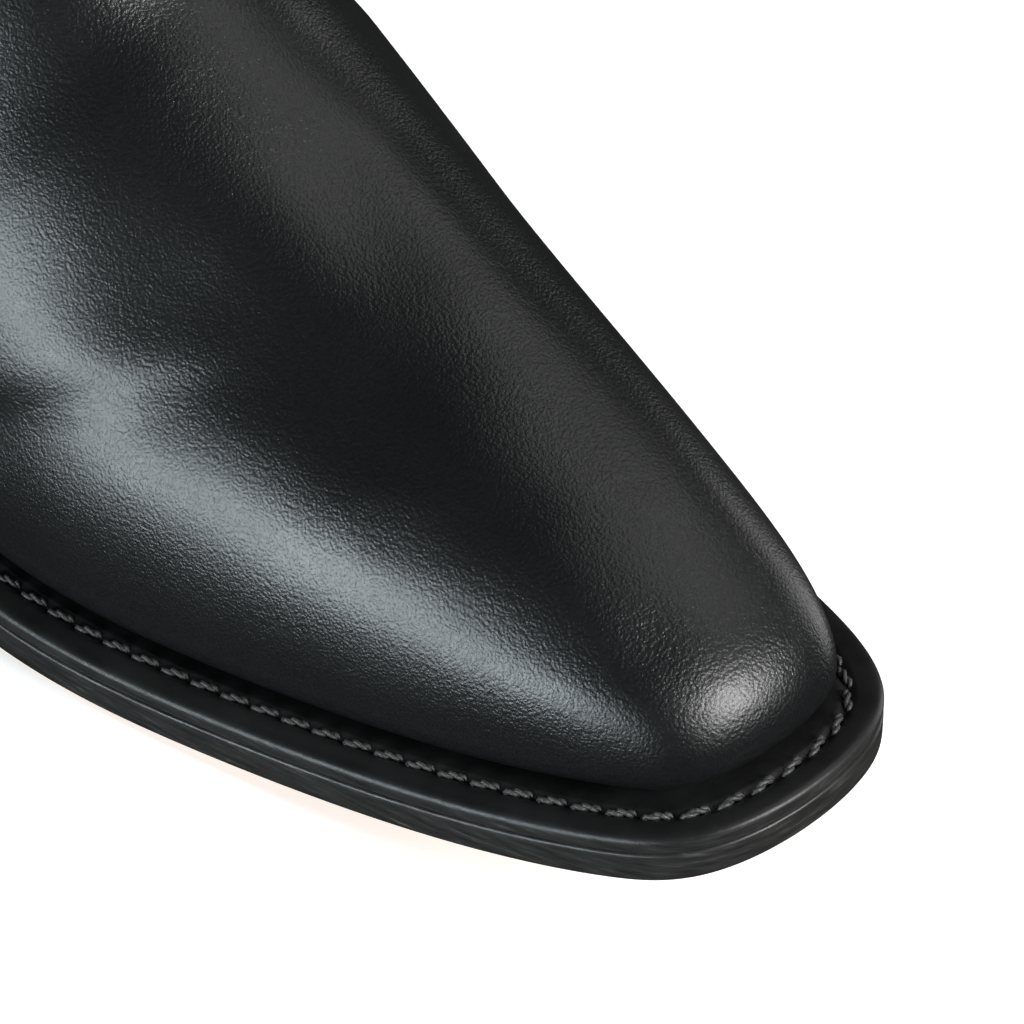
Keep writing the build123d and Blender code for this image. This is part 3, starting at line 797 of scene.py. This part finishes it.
def pick(values, at):
    """Values at fractional indices."""
    low = np.clip(np.floor(at).astype(int), 0, len(values) - 2)
    part = (at - low)[:, None]
    return values[low] * (1 - part) + values[low + 1] * part


def stitched(name, rows, length, thickness, stitch, slant=0.0):
    """A mesh of stitches. rows are (path, normals, pitch) in drawing millimetres."""
    reach = 0.3
    points = []
    turns = []
    for path, normals, pitch in rows:
        at = along(path, pitch)
        here = pick(path, at)
        behind = pick(path, np.maximum(at - reach, 0))
        ahead = unit(pick(path, np.minimum(at + reach, len(path) - 1)) - behind)
        up = unit(pick(normals, at))
        side = unit(np.cross(up, ahead))
        ahead = unit(np.cross(side, up))
        for p, a, b, c in zip(to_frame(here), ahead, side, up):
            tilt = Matrix.Rotation(slant, 3, "Z")
            matrix = Matrix((a, b, c)).transposed() @ tilt
            points.append(tuple(p))
            turns.append(tuple(matrix.to_euler()))
    mesh = bpy.data.meshes.new(name)
    mesh.from_pydata(points, [], [])
    mesh.attributes.new("turn", "FLOAT_VECTOR", "POINT").data.foreach_set("vector", np.array(turns).ravel())
    base = placed(name + "_points", mesh)
    row = base.modifiers.new("stitches", "NODES")
    row.node_group = stitch_tree()
    values = {"Length": length * 0.001, "Thickness": thickness * 0.001, "Stitch": stitch,
              "Thread": finish_of(waxed_thread)}
    for item in row.node_group.interface.items_tree:
        if item.in_out == "INPUT" and item.name in values:
            row[item.identifier] = values[item.name]
    bpy.context.view_layer.update()
    seen = base.evaluated_get(bpy.context.evaluated_depsgraph_get())
    obj = placed(name, bpy.data.meshes.new_from_object(seen))
    base.modifiers.clear()
    bpy.data.objects.remove(base)
    bpy.data.objects.remove(stitch)
    obj.data.shade_smooth()
    return obj


# ---- the upper ----


def folds(points, normals):
    """Soft dents and creases of worn-in leather, as heights along the normal in millimetres."""
    x, y, z = points[..., 0], points[..., 1], points[..., 2]
    rise = z - welt_top(x)
    out = np.zeros_like(x)
    for middle, deep, reach in BALL_WAVES:
        line = x - 0.45 * (rise - 45.0)
        out -= deep * hump(line, middle, reach) * ease(18, 45, rise)
    for height, deep, reach in ANKLE_WAVES:
        level = z + 0.22 * (x - 60.0) + 3.0 * np.sin(y / 14.0)
        out -= deep * hump(level, height, reach) * ease(125, 60, x) * ease(85, 100, z)
    out += 0.35 * np.sin(x / 17.0 + z / 23.0) * ease(60, 120, z)
    for start, end, above, below, deep in DENTS:
        out -= deep * trough(points, start, end, above, below)
    return out * ease(6, 16, rise)


def trough(points, start, end, above, below):
    """1 along a line between two points, falling off softly beyond its ends and to each side of it."""
    start, end = np.array(start, float), np.array(end, float)
    middle = (start + end) / 2
    core = np.linalg.norm(end - start) / 2 * 0.6
    along_it = unit(end - start)
    offset = points - middle
    run = offset @ along_it
    across = offset - run[..., None] * along_it
    away = np.linalg.norm(across, axis=-1)
    reach = np.where(across[..., 2] > 0, above, below)
    beyond = np.maximum(np.abs(run) - core, 0) / core
    return np.exp(-((away / reach) ** 2) - beyond**2)


def upper_surface(k, t, depth):
    """Points at a depth below the skin with its folds, and the skin's normals."""
    points, normals = skin(k, t, depth)
    return points + normals * folds(points, normals)[..., None], normals


def tuck(k, turn):
    """How far the foot of the upper is rounded in towards its seam with the welt."""
    point = skin_point(k, turn)
    rise = point[..., 2] - welt_top(point[..., 0])
    u = np.clip(1 - rise / TUCK_HEIGHT, 0, 1)
    return TUCK_INSET * (1 - np.sqrt(np.maximum(1 - u * u, 0)))


def upper_piece(name, turn_of, columns, rows, start, end, outer, inner, foot=False, edge=True):
    """A leather piece between two side-view lines, or from the feather line if start is None.

    foot rounds its lower end in to the welt, and edge thins its upper end.
    """
    u = np.linspace(-1, 1, columns)
    k0 = np.zeros_like(u) if start is None else girth_where(turn_of, u, *start)
    k1 = girth_where(turn_of, u, *end)
    k = evened(turn_of, u, k0, k1, rows, 1.35 if foot else 1.0)
    turn = turn_of(k, u[:, None] + 0 * k)
    depth = np.full(k.shape, float(outer))
    if foot:
        depth = depth + tuck(k, turn)
    if edge:
        run = np.linspace(1, 0, rows)[None, :] * 100
        depth = depth + SKIVED * np.exp(-run / SKIVE_LENGTH)
    face, _ = upper_surface(k, turn, depth)
    back, _ = upper_surface(k, turn, np.maximum(inner, depth + THINNEST))
    if foot:
        face[:, 0, 2] -= SUNK
        back[:, 0, 2] -= SUNK
    return sheet_shell(name, face, back)


def surface_path(turn_of, line, shift, depth):
    """Points and normals along a side-view line, clear of the side seams."""
    u = np.linspace(-0.985, 0.985, 400)
    k = girth_where(turn_of, u, line, shift)
    return upper_surface(k, turn_of(k, u), depth)


class LookSettings(bpy.types.PropertyGroup):
    leather_colour: bpy.props.FloatVectorProperty(
        name="Leather colour", description="Base colour of the upper", subtype="COLOR",
        default=(0.0042, 0.0045, 0.0048), min=0, max=1)
    leather_roughness: bpy.props.FloatProperty(
        name="Leather roughness", description="Roughness of the upper's finish",
        default=0.31, min=0.05, max=1)
    grain_size: bpy.props.FloatProperty(
        name="Grain size", description="Width of one pebble of the grain in millimetres",
        default=0.36, min=0.1)
    grain_strength: bpy.props.FloatProperty(
        name="Grain strength", description="How strongly the grain shows", default=0.65, min=0, max=1)


class WeltSettings(bpy.types.PropertyGroup):
    pitch: bpy.props.FloatProperty(
        name="Welt stitch pitch", description="Distance between holes in millimetres", default=4.3, min=1)
    thread: bpy.props.FloatProperty(
        name="Welt thread", description="Thickness of the welt thread in millimetres", default=1.1, min=0.2)
    inset: bpy.props.FloatProperty(
        name="Seam inset", description="Welt seam from the welt's edge in millimetres", default=4.2, min=1)
    slant: bpy.props.FloatProperty(
        name="Stitch slant", description="Turn of each stitch from its seam", subtype="ANGLE", default=0.24)


class BOOT_OT_vamp(bpy.types.Operator):
    """Builds the vamp with its tongue and its thinned seam edge"""
    bl_idname = "boot.vamp"
    bl_label = "Vamp"

    def execute(self, context):
        obj = upper_piece("vamp_leather", front_turn, 321, 130, None, (vamp_top,),
                          0.0, VAMP_IN, foot=True)
        settle(obj, black_leather, "upper_leather", "vamp")
        return {"FINISHED"}


class BOOT_OT_counter(bpy.types.Operator):
    """Builds the counter cover round the heel"""
    bl_idname = "boot.counter"
    bl_label = "Counter cover"

    def execute(self, context):
        obj = upper_piece("counter_leather", back_turn, 161, 80, None, (counter_top,),
                          0.0, VAMP_IN, foot=True)
        settle(obj, black_leather, "upper_leather", "counter_cover")
        return {"FINISHED"}


class BOOT_OT_shaft(bpy.types.Operator):
    """Builds the front and back panels of the shaft"""
    bl_idname = "boot.shaft"
    bl_label = "Shaft"

    def execute(self, context):
        for node, turn_of, foot_line in (("shaft_front", front_turn, vamp_top),
                                         ("shaft_back", back_turn, counter_top)):
            obj = upper_piece(node + "_leather", turn_of, 161, 160, (foot_line, PANEL_OVERLAP), (top_line,),
                              VAMP_IN, SHAFT_IN, edge=False)
            settle(obj, black_leather, "upper_leather", node)
        return {"FINISHED"}


class BOOT_OT_lining(bpy.types.Operator):
    """Builds the leather linings of the foot and the leg"""
    bl_idname = "boot.lining"
    bl_label = "Linings"

    def execute(self, context):
        joint = (vamp_top, LINING_JOINT)
        for node, turn_of, columns, rows, start, end in (
            ("vamp_lining", front_turn, 121, 60, None, joint),
            ("shaft_front_lining", front_turn, 101, 80, joint, (top_line,)),
            ("shaft_back_lining", back_turn, 101, 110, None, (top_line,)),
        ):
            obj = upper_piece(node + "_leather", turn_of, columns, rows, start, end,
                              SHAFT_IN, LINING_IN, edge=False)
            settle(obj, natural_leather, "lining_leather", node)
        return {"FINISHED"}


class BOOT_OT_binding(bpy.types.Operator):
    """Folds a narrow binding over the scalloped top line"""
    bl_idname = "boot.binding"
    bl_label = "Top binding"

    def execute(self, context):
        around = np.linspace(-1, 1, 361)[:-1]
        k_top = girth_where(whole_turn, around, top_line)
        k_low = girth_where(whole_turn, around, lambda x: top_line(x) - BINDING_DEPTH)
        outer_depth = VAMP_IN - BINDING_THICKNESS
        inner_depth = LINING_IN + BINDING_THICKNESS
        rings = []
        rise = np.array([0, 0, 1.0])
        for part in np.linspace(0, 1, 7):
            k = k_low + (k_top - k_low) * part
            puff = BINDING_PUFF * math.sin(math.pi * part)
            rings.append(upper_surface(k, around, outer_depth - puff)[0])
        for part in np.linspace(0.12, 0.88, 6):
            depth = outer_depth + (inner_depth - outer_depth) * (1 - math.cos(math.pi * part)) / 2
            lift = BINDING_THICKNESS * math.sin(math.pi * part)
            rings.append(upper_surface(k_top, around, depth)[0] + rise * lift)
        for part in np.linspace(1, 0, 7):
            k = k_low + (k_top - k_low) * part
            rings.append(upper_surface(k, around, inner_depth)[0])
        for depth, k in ((LINING_IN, k_low), (LINING_IN, k_top), (VAMP_IN, k_top), (VAMP_IN, k_low)):
            rings.append(upper_surface(k, around, depth)[0])
        obj = swept("top_binding_leather", np.stack(rings, 1), closed_path=True)
        settle(obj, black_leather, "upper_leather", "top_binding")
        return {"FINISHED"}


class BOOT_OT_piping(bpy.types.Operator):
    """Lays a rounded bead down each side seam"""
    bl_idname = "boot.piping"
    bl_label = "Side piping"

    def execute(self, context):
        for side, node in ((-1, "side_piping_lateral"), (1, "side_piping_medial")):
            k = np.linspace(3.0, TOP_GIRTH, 900)
            p = skin_point(k, side * seam_turn(k))
            keep = (p[:, 2] > PIPING_FOOT) & (p[:, 2] < SHAFT_TOP - PIPING_BELOW)
            k = k[keep][::3]
            turn = side * seam_turn(k)
            base, normal = upper_surface(k, turn, VAMP_IN)
            ahead = unit(np.gradient(base, axis=0))
            across = np.cross(ahead, normal)
            section = []
            for angle in np.linspace(0, math.pi, 9):
                wide = PIPING_HALF * math.cos(angle)
                high = PIPING_RISE * math.sin(angle) ** 0.8
                section.append(base + across * wide + normal * high)
            section.append(base - across * PIPING_HALF - normal * THINNEST)
            section.append(base + across * PIPING_HALF - normal * THINNEST)
            obj = swept(node.replace("piping", "bead"), np.stack(section, 1))
            settle(obj, black_leather, "upper_leather", node)
        return {"FINISHED"}


def strap_line(side):
    """Middle line of a pull strap in its own plane (y, z), up the outside, over and down inside."""
    top = SHAFT_TOP
    z = np.linspace(top - STRAP_BELOW, top, 40)
    k = np.linspace(8, TOP_GIRTH, 400)
    turn = side * seam_turn(k)
    heights = skin_point(k, turn)[:, 2]
    outside = upper_surface(k, turn, VAMP_IN - STRAP_HALF)[0][:, 1]
    inside = upper_surface(k, turn, LINING_IN + STRAP_HALF)[0][:, 1]
    y_out = np.interp(z, heights, outside)
    y_in = np.interp(z, heights, inside)
    centre = (y_out[-1] + y_in[-1]) / 2
    crown = top + LOOP_HEIGHT - LOOP_RADIUS
    arch = [(centre + side * LOOP_RADIUS * math.cos(a), crown + LOOP_RADIUS * math.sin(a))
            for a in np.linspace(0, math.pi, 17)]
    up = np.linspace((y_out[-1], top), arch[0], 8)[1:-1]
    down = np.linspace(arch[-1], (y_in[-1], top), 8)[1:-1]
    return np.concatenate([np.stack([y_out, z], 1), up, np.array(arch), down, np.stack([y_in, z], 1)[::-1]])


class BOOT_OT_straps(bpy.types.Operator):
    """Makes the two pull straps with their finger loops"""
    bl_idname = "boot.straps"
    bl_label = "Pull straps"

    def execute(self, context):
        for side, node in ((-1, "pull_strap_lateral"), (1, "pull_strap_medial")):
            line = strap_line(side)
            tangent = unit(np.gradient(line, axis=0))
            outward = np.stack([tangent[:, 1], -tangent[:, 0]], 1) * side
            outward *= np.sign((outward[0] * [side, 0]).sum())
            sections = []
            for (y, z), (ny, nz) in zip(line, outward):
                middle = STRAP_MIDDLE - (z - SHAFT_TOP) * STRAP_LEAN
                sections.append([(middle + w, y + ny * h - side * STRAP_CURL * w**2, z + nz * h)
                                 for w, h in STRAP_SECTION])
            obj = swept(node.replace("pull_strap", "pull_loop"), np.array(sections))
            settle(obj, black_leather, "upper_leather", node)
        return {"FINISHED"}


def strip(name, turns, section, node):
    """A welt or rand, with a burnished edge on its upright faces.

    The section's points are (inset from the welt's edge, drop below its top).
    """
    obj = swept(name, np.stack([from_rim(turns, inset, drop) for inset, drop in section], 1))
    two_finishes(obj, welt_leather, sole_edge, lambda normal: abs(normal.z) < 0.45)
    settle(obj, welt_leather, "welt_leather", node)


def two_finishes(obj, first, second, is_second):
    """Gives each face one of two finishes by the way it faces."""
    for finish in (first, second):
        obj.data.materials.append(finish_of(finish))
    for polygon in obj.data.polygons:
        polygon.material_index = int(is_second(polygon.normal))


class BOOT_OT_welt(bpy.types.Operator):
    """Sweeps the welt from breast to breast, with its seam groove and bevelled edge"""
    bl_idname = "boot.welt"
    bl_label = "Welt"

    def execute(self, context):
        inset = context.scene.boot_welt.inset
        groove = [(1.3, 0.0), (0.75, 0.08), (0.4, 0.34), (0, 0.46), (-0.4, 0.34), (-0.75, 0.06),
                  (-1.2, -0.02)]
        section = (
            [(17.0, WELT_THICKNESS), (17.0, 0.15), (9.5, 0.12), (7.4, 0.06)]
            + [(inset + across, drop) for across, drop in groove]
            + [(1.5, 0.0), (0.9, 0.08), (0.42, 0.34), (0.14, 0.7), (0.04, 1.1), (0.03, 1.7), (0.1, 2.15),
               (0.32, WELT_THICKNESS - 0.05), (0.8, WELT_THICKNESS)]
        )
        start = turn_at(HEEL_LENGTH)
        turns = np.concatenate([np.linspace(start, 1, 340), np.linspace(-1, -start, 340)[1:]])
        strip("welt_strip", turns, section, "welt")
        return {"FINISHED"}


class BOOT_OT_rand(bpy.types.Operator):
    """Makes the rand round the heel seat"""
    bl_idname = "boot.rand"
    bl_label = "Heel seat rand"

    def execute(self, context):
        section = [(13.0, WELT_THICKNESS), (13.0, 0.1), (4.0, 0.1), (1.2, 0.0), (0.4, 0.2), (0.05, 0.8),
                   (0.05, 1.8), (0.3, WELT_THICKNESS - 0.1), (0.7, WELT_THICKNESS)]
        start = turn_at(HEEL_LENGTH)
        turns = np.linspace(-start, start, 240)
        strip("heel_rand", turns, section, "heel_seat_rand")
        return {"FINISHED"}


class BOOT_OT_outsole(bpy.types.Operator):
    """Makes the outsole with its rounded edge and natural tread"""
    bl_idname = "boot.outsole"
    bl_label = "Outsole"

    def execute(self, context):
        half = np.linspace(0.0, 1.0, 321)
        top, foot = WELT_THICKNESS, SOLE_THICKNESS
        edge = [(3.0, top), (0.6, top), (0.16, top + 0.12), (0.02, top + 0.45), (0.0, top + 1.1),
                (0.0, foot - 1.0), (0.04, foot - 0.5), (0.2, foot - 0.16), (0.6, foot - 0.02), (1.6, foot),
                (3.0, foot)]
        lateral = [from_rim(-half, inset, drop) for inset, drop in edge]
        medial = [from_rim(half, inset, drop) for inset, drop in edge]
        rows = list(lateral)
        for part in np.linspace(0, 1, 22)[1:-1]:
            row = lateral[-1] * (1 - part) + medial[-1] * part
            row[:, 2] = welt_top(row[:, 0]) - SOLE_THICKNESS
            rows.append(row)
        rows += medial[::-1]
        for part in np.linspace(0, 1, 10)[1:-1]:
            row = medial[0] * (1 - part) + lateral[0] * part
            row[:, 2] = welt_top(row[:, 0]) - WELT_THICKNESS
            rows.append(row)
        obj = swept("outsole_leather", np.stack(rows, 1))
        two_finishes(obj, natural_leather, sole_edge, lambda normal: normal.z > -0.8)
        settle(obj, natural_leather, "sole_leather", "outsole")
        return {"FINISHED"}


class BOOT_OT_stitching(bpy.types.Operator):
    """Sews the welt seam, the seams of the upper and the rows on the shaft"""
    bl_idname = "boot.stitching"
    bl_label = "Stitching"

    def execute(self, context):
        welt = context.scene.boot_welt
        start = turn_at(HEEL_LENGTH + WELT_SEAM_START)
        turns = np.concatenate([np.linspace(-start, -1, 600), np.linspace(1, start, 600)[1:]])
        path = from_rim(turns, welt.inset, WELT_SEAM_DROP)
        up = np.zeros_like(path)
        up[:, 2] = 1
        seam = stitched("welt_thread", [(path, up, welt.pitch)], welt.pitch * WELT_STITCH_SHARE,
                        welt.thread, thread_pair("welt_stitch"), welt.slant)
        settle(seam, waxed_thread, "thread", "welt_stitching")
        rows = []
        for shift in SEAM_INSETS:
            rows.append((*surface_path(front_turn, vamp_top, shift, -PROUD), SEAM_PITCH))
            rows.append((*surface_path(back_turn, counter_top, shift, -PROUD), SEAM_PITCH))
        u = np.linspace(-1, 1, 500)
        k = girth_where(whole_turn, u, lambda x: top_line(x) - BINDING_SEAM)
        rows.append((*upper_surface(k, u, VAMP_IN - BINDING_THICKNESS - 0.1), SEAM_PITCH))
        fine = stitched("upper_thread", rows, SEAM_STITCH, SEAM_THREAD, thread_pair("fine_stitch", 5, 3, 0.5))
        settle(fine, waxed_thread, "thread")
        settle(shaft_rows(), waxed_thread, "thread")
        return {"FINISHED"}


def shaft_rows():
    """Four rows of leaf-shaped corded stitching on each panel of the shaft."""
    rows = []
    girths = np.linspace(8, TOP_GIRTH, 300)
    heights = skin_point(girths, 0.35)[:, 2]
    v = np.linspace(0.04, 0.96, 260)
    swing = np.sin(math.pi * v) ** 0.8
    wave = 0.12 * np.sin(3 * math.pi * v)
    for turn_of in (front_turn, back_turn):
        for half in (-1, 1):
            for step in ROW_STEPS:
                height = ROWS_FOOT + step * 0.8 + (ROWS_TOP - ROWS_FOOT - 2.2 * step) * v
                u = half * (0.10 + step * 0.012 + (0.62 - step * 0.03) * swing * (0.75 + wave))
                k = np.interp(height, heights, girths)
                rows.append((*upper_surface(k, turn_of(k, u), VAMP_IN - PROUD), ROW_PITCH))
    return stitched("shaft_thread", rows, ROW_STITCH, SEAM_THREAD, thread_pair("shaft_stitch", 5, 3, 0.5))


class BOOT_OT_inside(bpy.types.Operator):
    """Gives the carried-over sole, heel and inner pieces their finishes"""
    bl_idname = "boot.inside"
    bl_label = "Sole and heel finishes"

    def execute(self, context):
        finishes = {
            "insole": natural_leather, "sock_lining": natural_leather, "cork_filler": cork,
            "steel_shank": spring_steel, "waist_pegs": peg_wood, "heel_top_lift": heel_rubber,
            "heel_nails": nail_brass,
        }
        for node, finish in finishes.items():
            carried(node, finish)
        for node, finish, slot in (("toe_puff", fibre_board, "stiffener_board"),
                                   ("heel_stiffener", fibre_board, "stiffener_board"),
                                   ("vamp_backer", backing_cloth, "backer_cloth")):
            settle(folded_copy(node), finish, slot, node)
        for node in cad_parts:
            if node.startswith("heel_lift_"):
                carried(node, stacked_leather)
        return {"FINISHED"}


def folded_copy(node):
    """A CAD node's shape, pressed in where the leather over it is."""
    mesh = bpy.data.objects[node].data.copy()
    mesh.materials.clear()
    k, t = np.meshgrid(np.linspace(0, TOP_GIRTH, 140), np.linspace(-1, 1, 280), indexing="ij")
    seen = skin_point(k, t).reshape(-1, 3)
    facing = skin_normal(k, t).reshape(-1, 3)
    tree = KDTree(len(seen))
    for i, p in enumerate(seen):
        tree.insert(p, i)
    tree.balance()
    flat = np.zeros(len(mesh.vertices) * 3)
    mesh.vertices.foreach_get("co", flat)
    points = flat.reshape(-1, 3) * 1000
    points[:, 0] -= FRAME_SHIFT
    normals = facing[[tree.find(p)[1] for p in points]]
    moved = to_frame(points + normals * folds(points, normals)[:, None])
    mesh.vertices.foreach_set("co", moved.ravel())
    return placed(node + "_shaped", mesh)


def carried(node, finish):
    """Puts a finish on a CAD node's own object."""
    obj = bpy.data.objects[node]
    if not obj.material_slots:
        raise RuntimeError(node + " has no material slot")
    for slot in obj.material_slots:
        slot.material = finish_of(finish)


class BOOT_OT_stage(bpy.types.Operator):
    """Sets the pale floor, the soft lights and the camera"""
    bl_idname = "boot.stage"
    bl_label = "Stage"

    def execute(self, context):
        floor_and_world()
        lights()
        camera()
        return {"FINISHED"}


def floor_and_world():
    """A pale floor that reflections don't show, and a dim world."""
    reach = 6
    corners = [(-reach, -reach, 0), (reach, -reach, 0), (reach, reach, 0), (-reach, reach, 0)]
    floor = mesh_object("floor", corners, [(0, 1, 2, 3)])
    s = Shader("pale_floor", Roughness=0.9, Specular_IOR_Level=0.1, Emission_Strength=0.6)
    s.surface.inputs["Base Color"].default_value = (0.9, 0.9, 0.9, 1)
    s.surface.inputs["Emission Color"].default_value = (1, 1, 1, 1)
    floor.data.materials.append(s.material)
    floor.visible_glossy = False
    world = bpy.data.worlds.new("studio")
    world.use_nodes = True
    world.node_tree.nodes["Background"].inputs["Color"].default_value = (1, 1, 1, 1)
    world.node_tree.nodes["Background"].inputs["Strength"].default_value = 0.02
    bpy.context.scene.world = world
    bpy.context.scene.view_settings.view_transform = "Standard"


def area_light(name, place, aim, size, power, colour):
    """A rectangular soft light that faces its aim."""
    data = bpy.data.lights.new(name, "AREA")
    data.shape = "RECTANGLE"
    data.size, data.size_y = size
    data.energy = power
    data.color = colour
    obj = placed(name, data)
    obj.location = place
    obj.rotation_euler = (aim - place).to_track_quat("-Z", "Y").to_euler()


# the camera's direction, and its distance in metres
VIEW_AZIMUTH = math.radians(49.3)
VIEW_ELEVATION = math.radians(46.85)
VIEW_DISTANCE = 0.70
# units of a frame PICTURE wide to a millimetre, and where the toe end of the welt stands in that frame
PICTURE = 1024.0
VIEW_SCALE = 8.9
VIEW_TOE = (767.5, 806.3)
VIEW_TOE_X = 280.0
SENSOR = 36.0
# the place that the lights face, in drawing millimetres
LIT_POINT = (240.0, 0.0, 35.0)


def view_axes():
    """Right, up and back towards the camera."""
    a, e = VIEW_AZIMUTH, VIEW_ELEVATION
    back = Vector((math.sin(a) * math.cos(e), -math.cos(a) * math.cos(e), math.sin(e)))
    right = Vector((math.cos(a), math.sin(a), 0))
    return right, back.cross(right), back


def lights():
    """Soft lights, each placed from the toe by its shares to the right, up and towards the camera."""
    toe = Vector(to_frame(LIT_POINT))
    axes = view_axes()
    for name, direction, distance, size, power, colour in (
        ("left_softbox", (-0.80, -0.35, 0.49), 1.2, (0.9, 0.42), 15.0, (0.84, 0.95, 1.0)),
        ("right_softbox", (0.73, 0.0, 0.68), 1.1, (0.34, 0.5), 14.0, (1, 1, 1)),
        ("top_softbox", (0.45, 0.78, 0.43), 1.2, (0.6, 0.4), 1.4, (1, 1, 1)),
        ("rim_softbox", (0.80, 0.42, -0.42), 1.2, (0.5, 1.0), 3.0, (1, 1, 1)),
    ):
        place = toe
        for axis, share in zip(axes, direction):
            place = place + axis * share * distance
        area_light(name, place, toe, size, power, colour)


def camera():
    """The camera, at the viewing angle and scale that show the toe and the forefoot."""
    data = bpy.data.cameras.new("camera")
    data.sensor_width = SENSOR
    focal = VIEW_SCALE * VIEW_DISTANCE * 1000
    data.lens = focal / PICTURE * SENSOR
    data.clip_start = 0.01
    obj = placed("camera", data)
    right, up, back = view_axes()
    toe = Vector(to_frame((VIEW_TOE_X, 0.0, float(welt_top(VIEW_TOE_X)))))
    across = (VIEW_TOE[0] - PICTURE / 2) / focal * VIEW_DISTANCE
    down = (VIEW_TOE[1] - PICTURE / 2) / focal * VIEW_DISTANCE
    obj.location = toe + back * VIEW_DISTANCE - right * across + up * down
    obj.rotation_euler = Matrix((right, up, back)).transposed().to_euler()
    bpy.context.scene.camera = obj


class BOOT_PT_panel(bpy.types.Panel):
    bl_idname = "BOOT_PT_panel"
    bl_label = "Cowboy boot"
    bl_space_type = "VIEW_3D"
    bl_region_type = "UI"
    bl_category = "Boot"

    def draw(self, context):
        for settings in (context.scene.boot_look, context.scene.boot_welt):
            for name in settings.__annotations__:
                self.layout.prop(settings, name)
        for operator in OPERATORS:
            self.layout.operator(operator.bl_idname)


OPERATORS = (
    BOOT_OT_stage, BOOT_OT_vamp, BOOT_OT_counter, BOOT_OT_shaft, BOOT_OT_lining, BOOT_OT_binding,
    BOOT_OT_piping, BOOT_OT_straps, BOOT_OT_welt, BOOT_OT_rand, BOOT_OT_outsole, BOOT_OT_stitching,
    BOOT_OT_inside,
)
CLASSES = (LookSettings, WeltSettings) + OPERATORS + (BOOT_PT_panel,)


def register():
    for cls in CLASSES:
        bpy.utils.register_class(cls)
    bpy.types.Scene.boot_look = bpy.props.PointerProperty(type=LookSettings)
    bpy.types.Scene.boot_welt = bpy.props.PointerProperty(type=WeltSettings)


def unregister():
    del bpy.types.Scene.boot_look
    del bpy.types.Scene.boot_welt
    for cls in reversed(CLASSES):
        bpy.utils.unregister_class(cls)


def main():
    register()
    for operator in OPERATORS:
        group, name = operator.bl_idname.split(".")
        getattr(getattr(bpy.ops, group), name)()


if __name__ == "__main__":
    main()
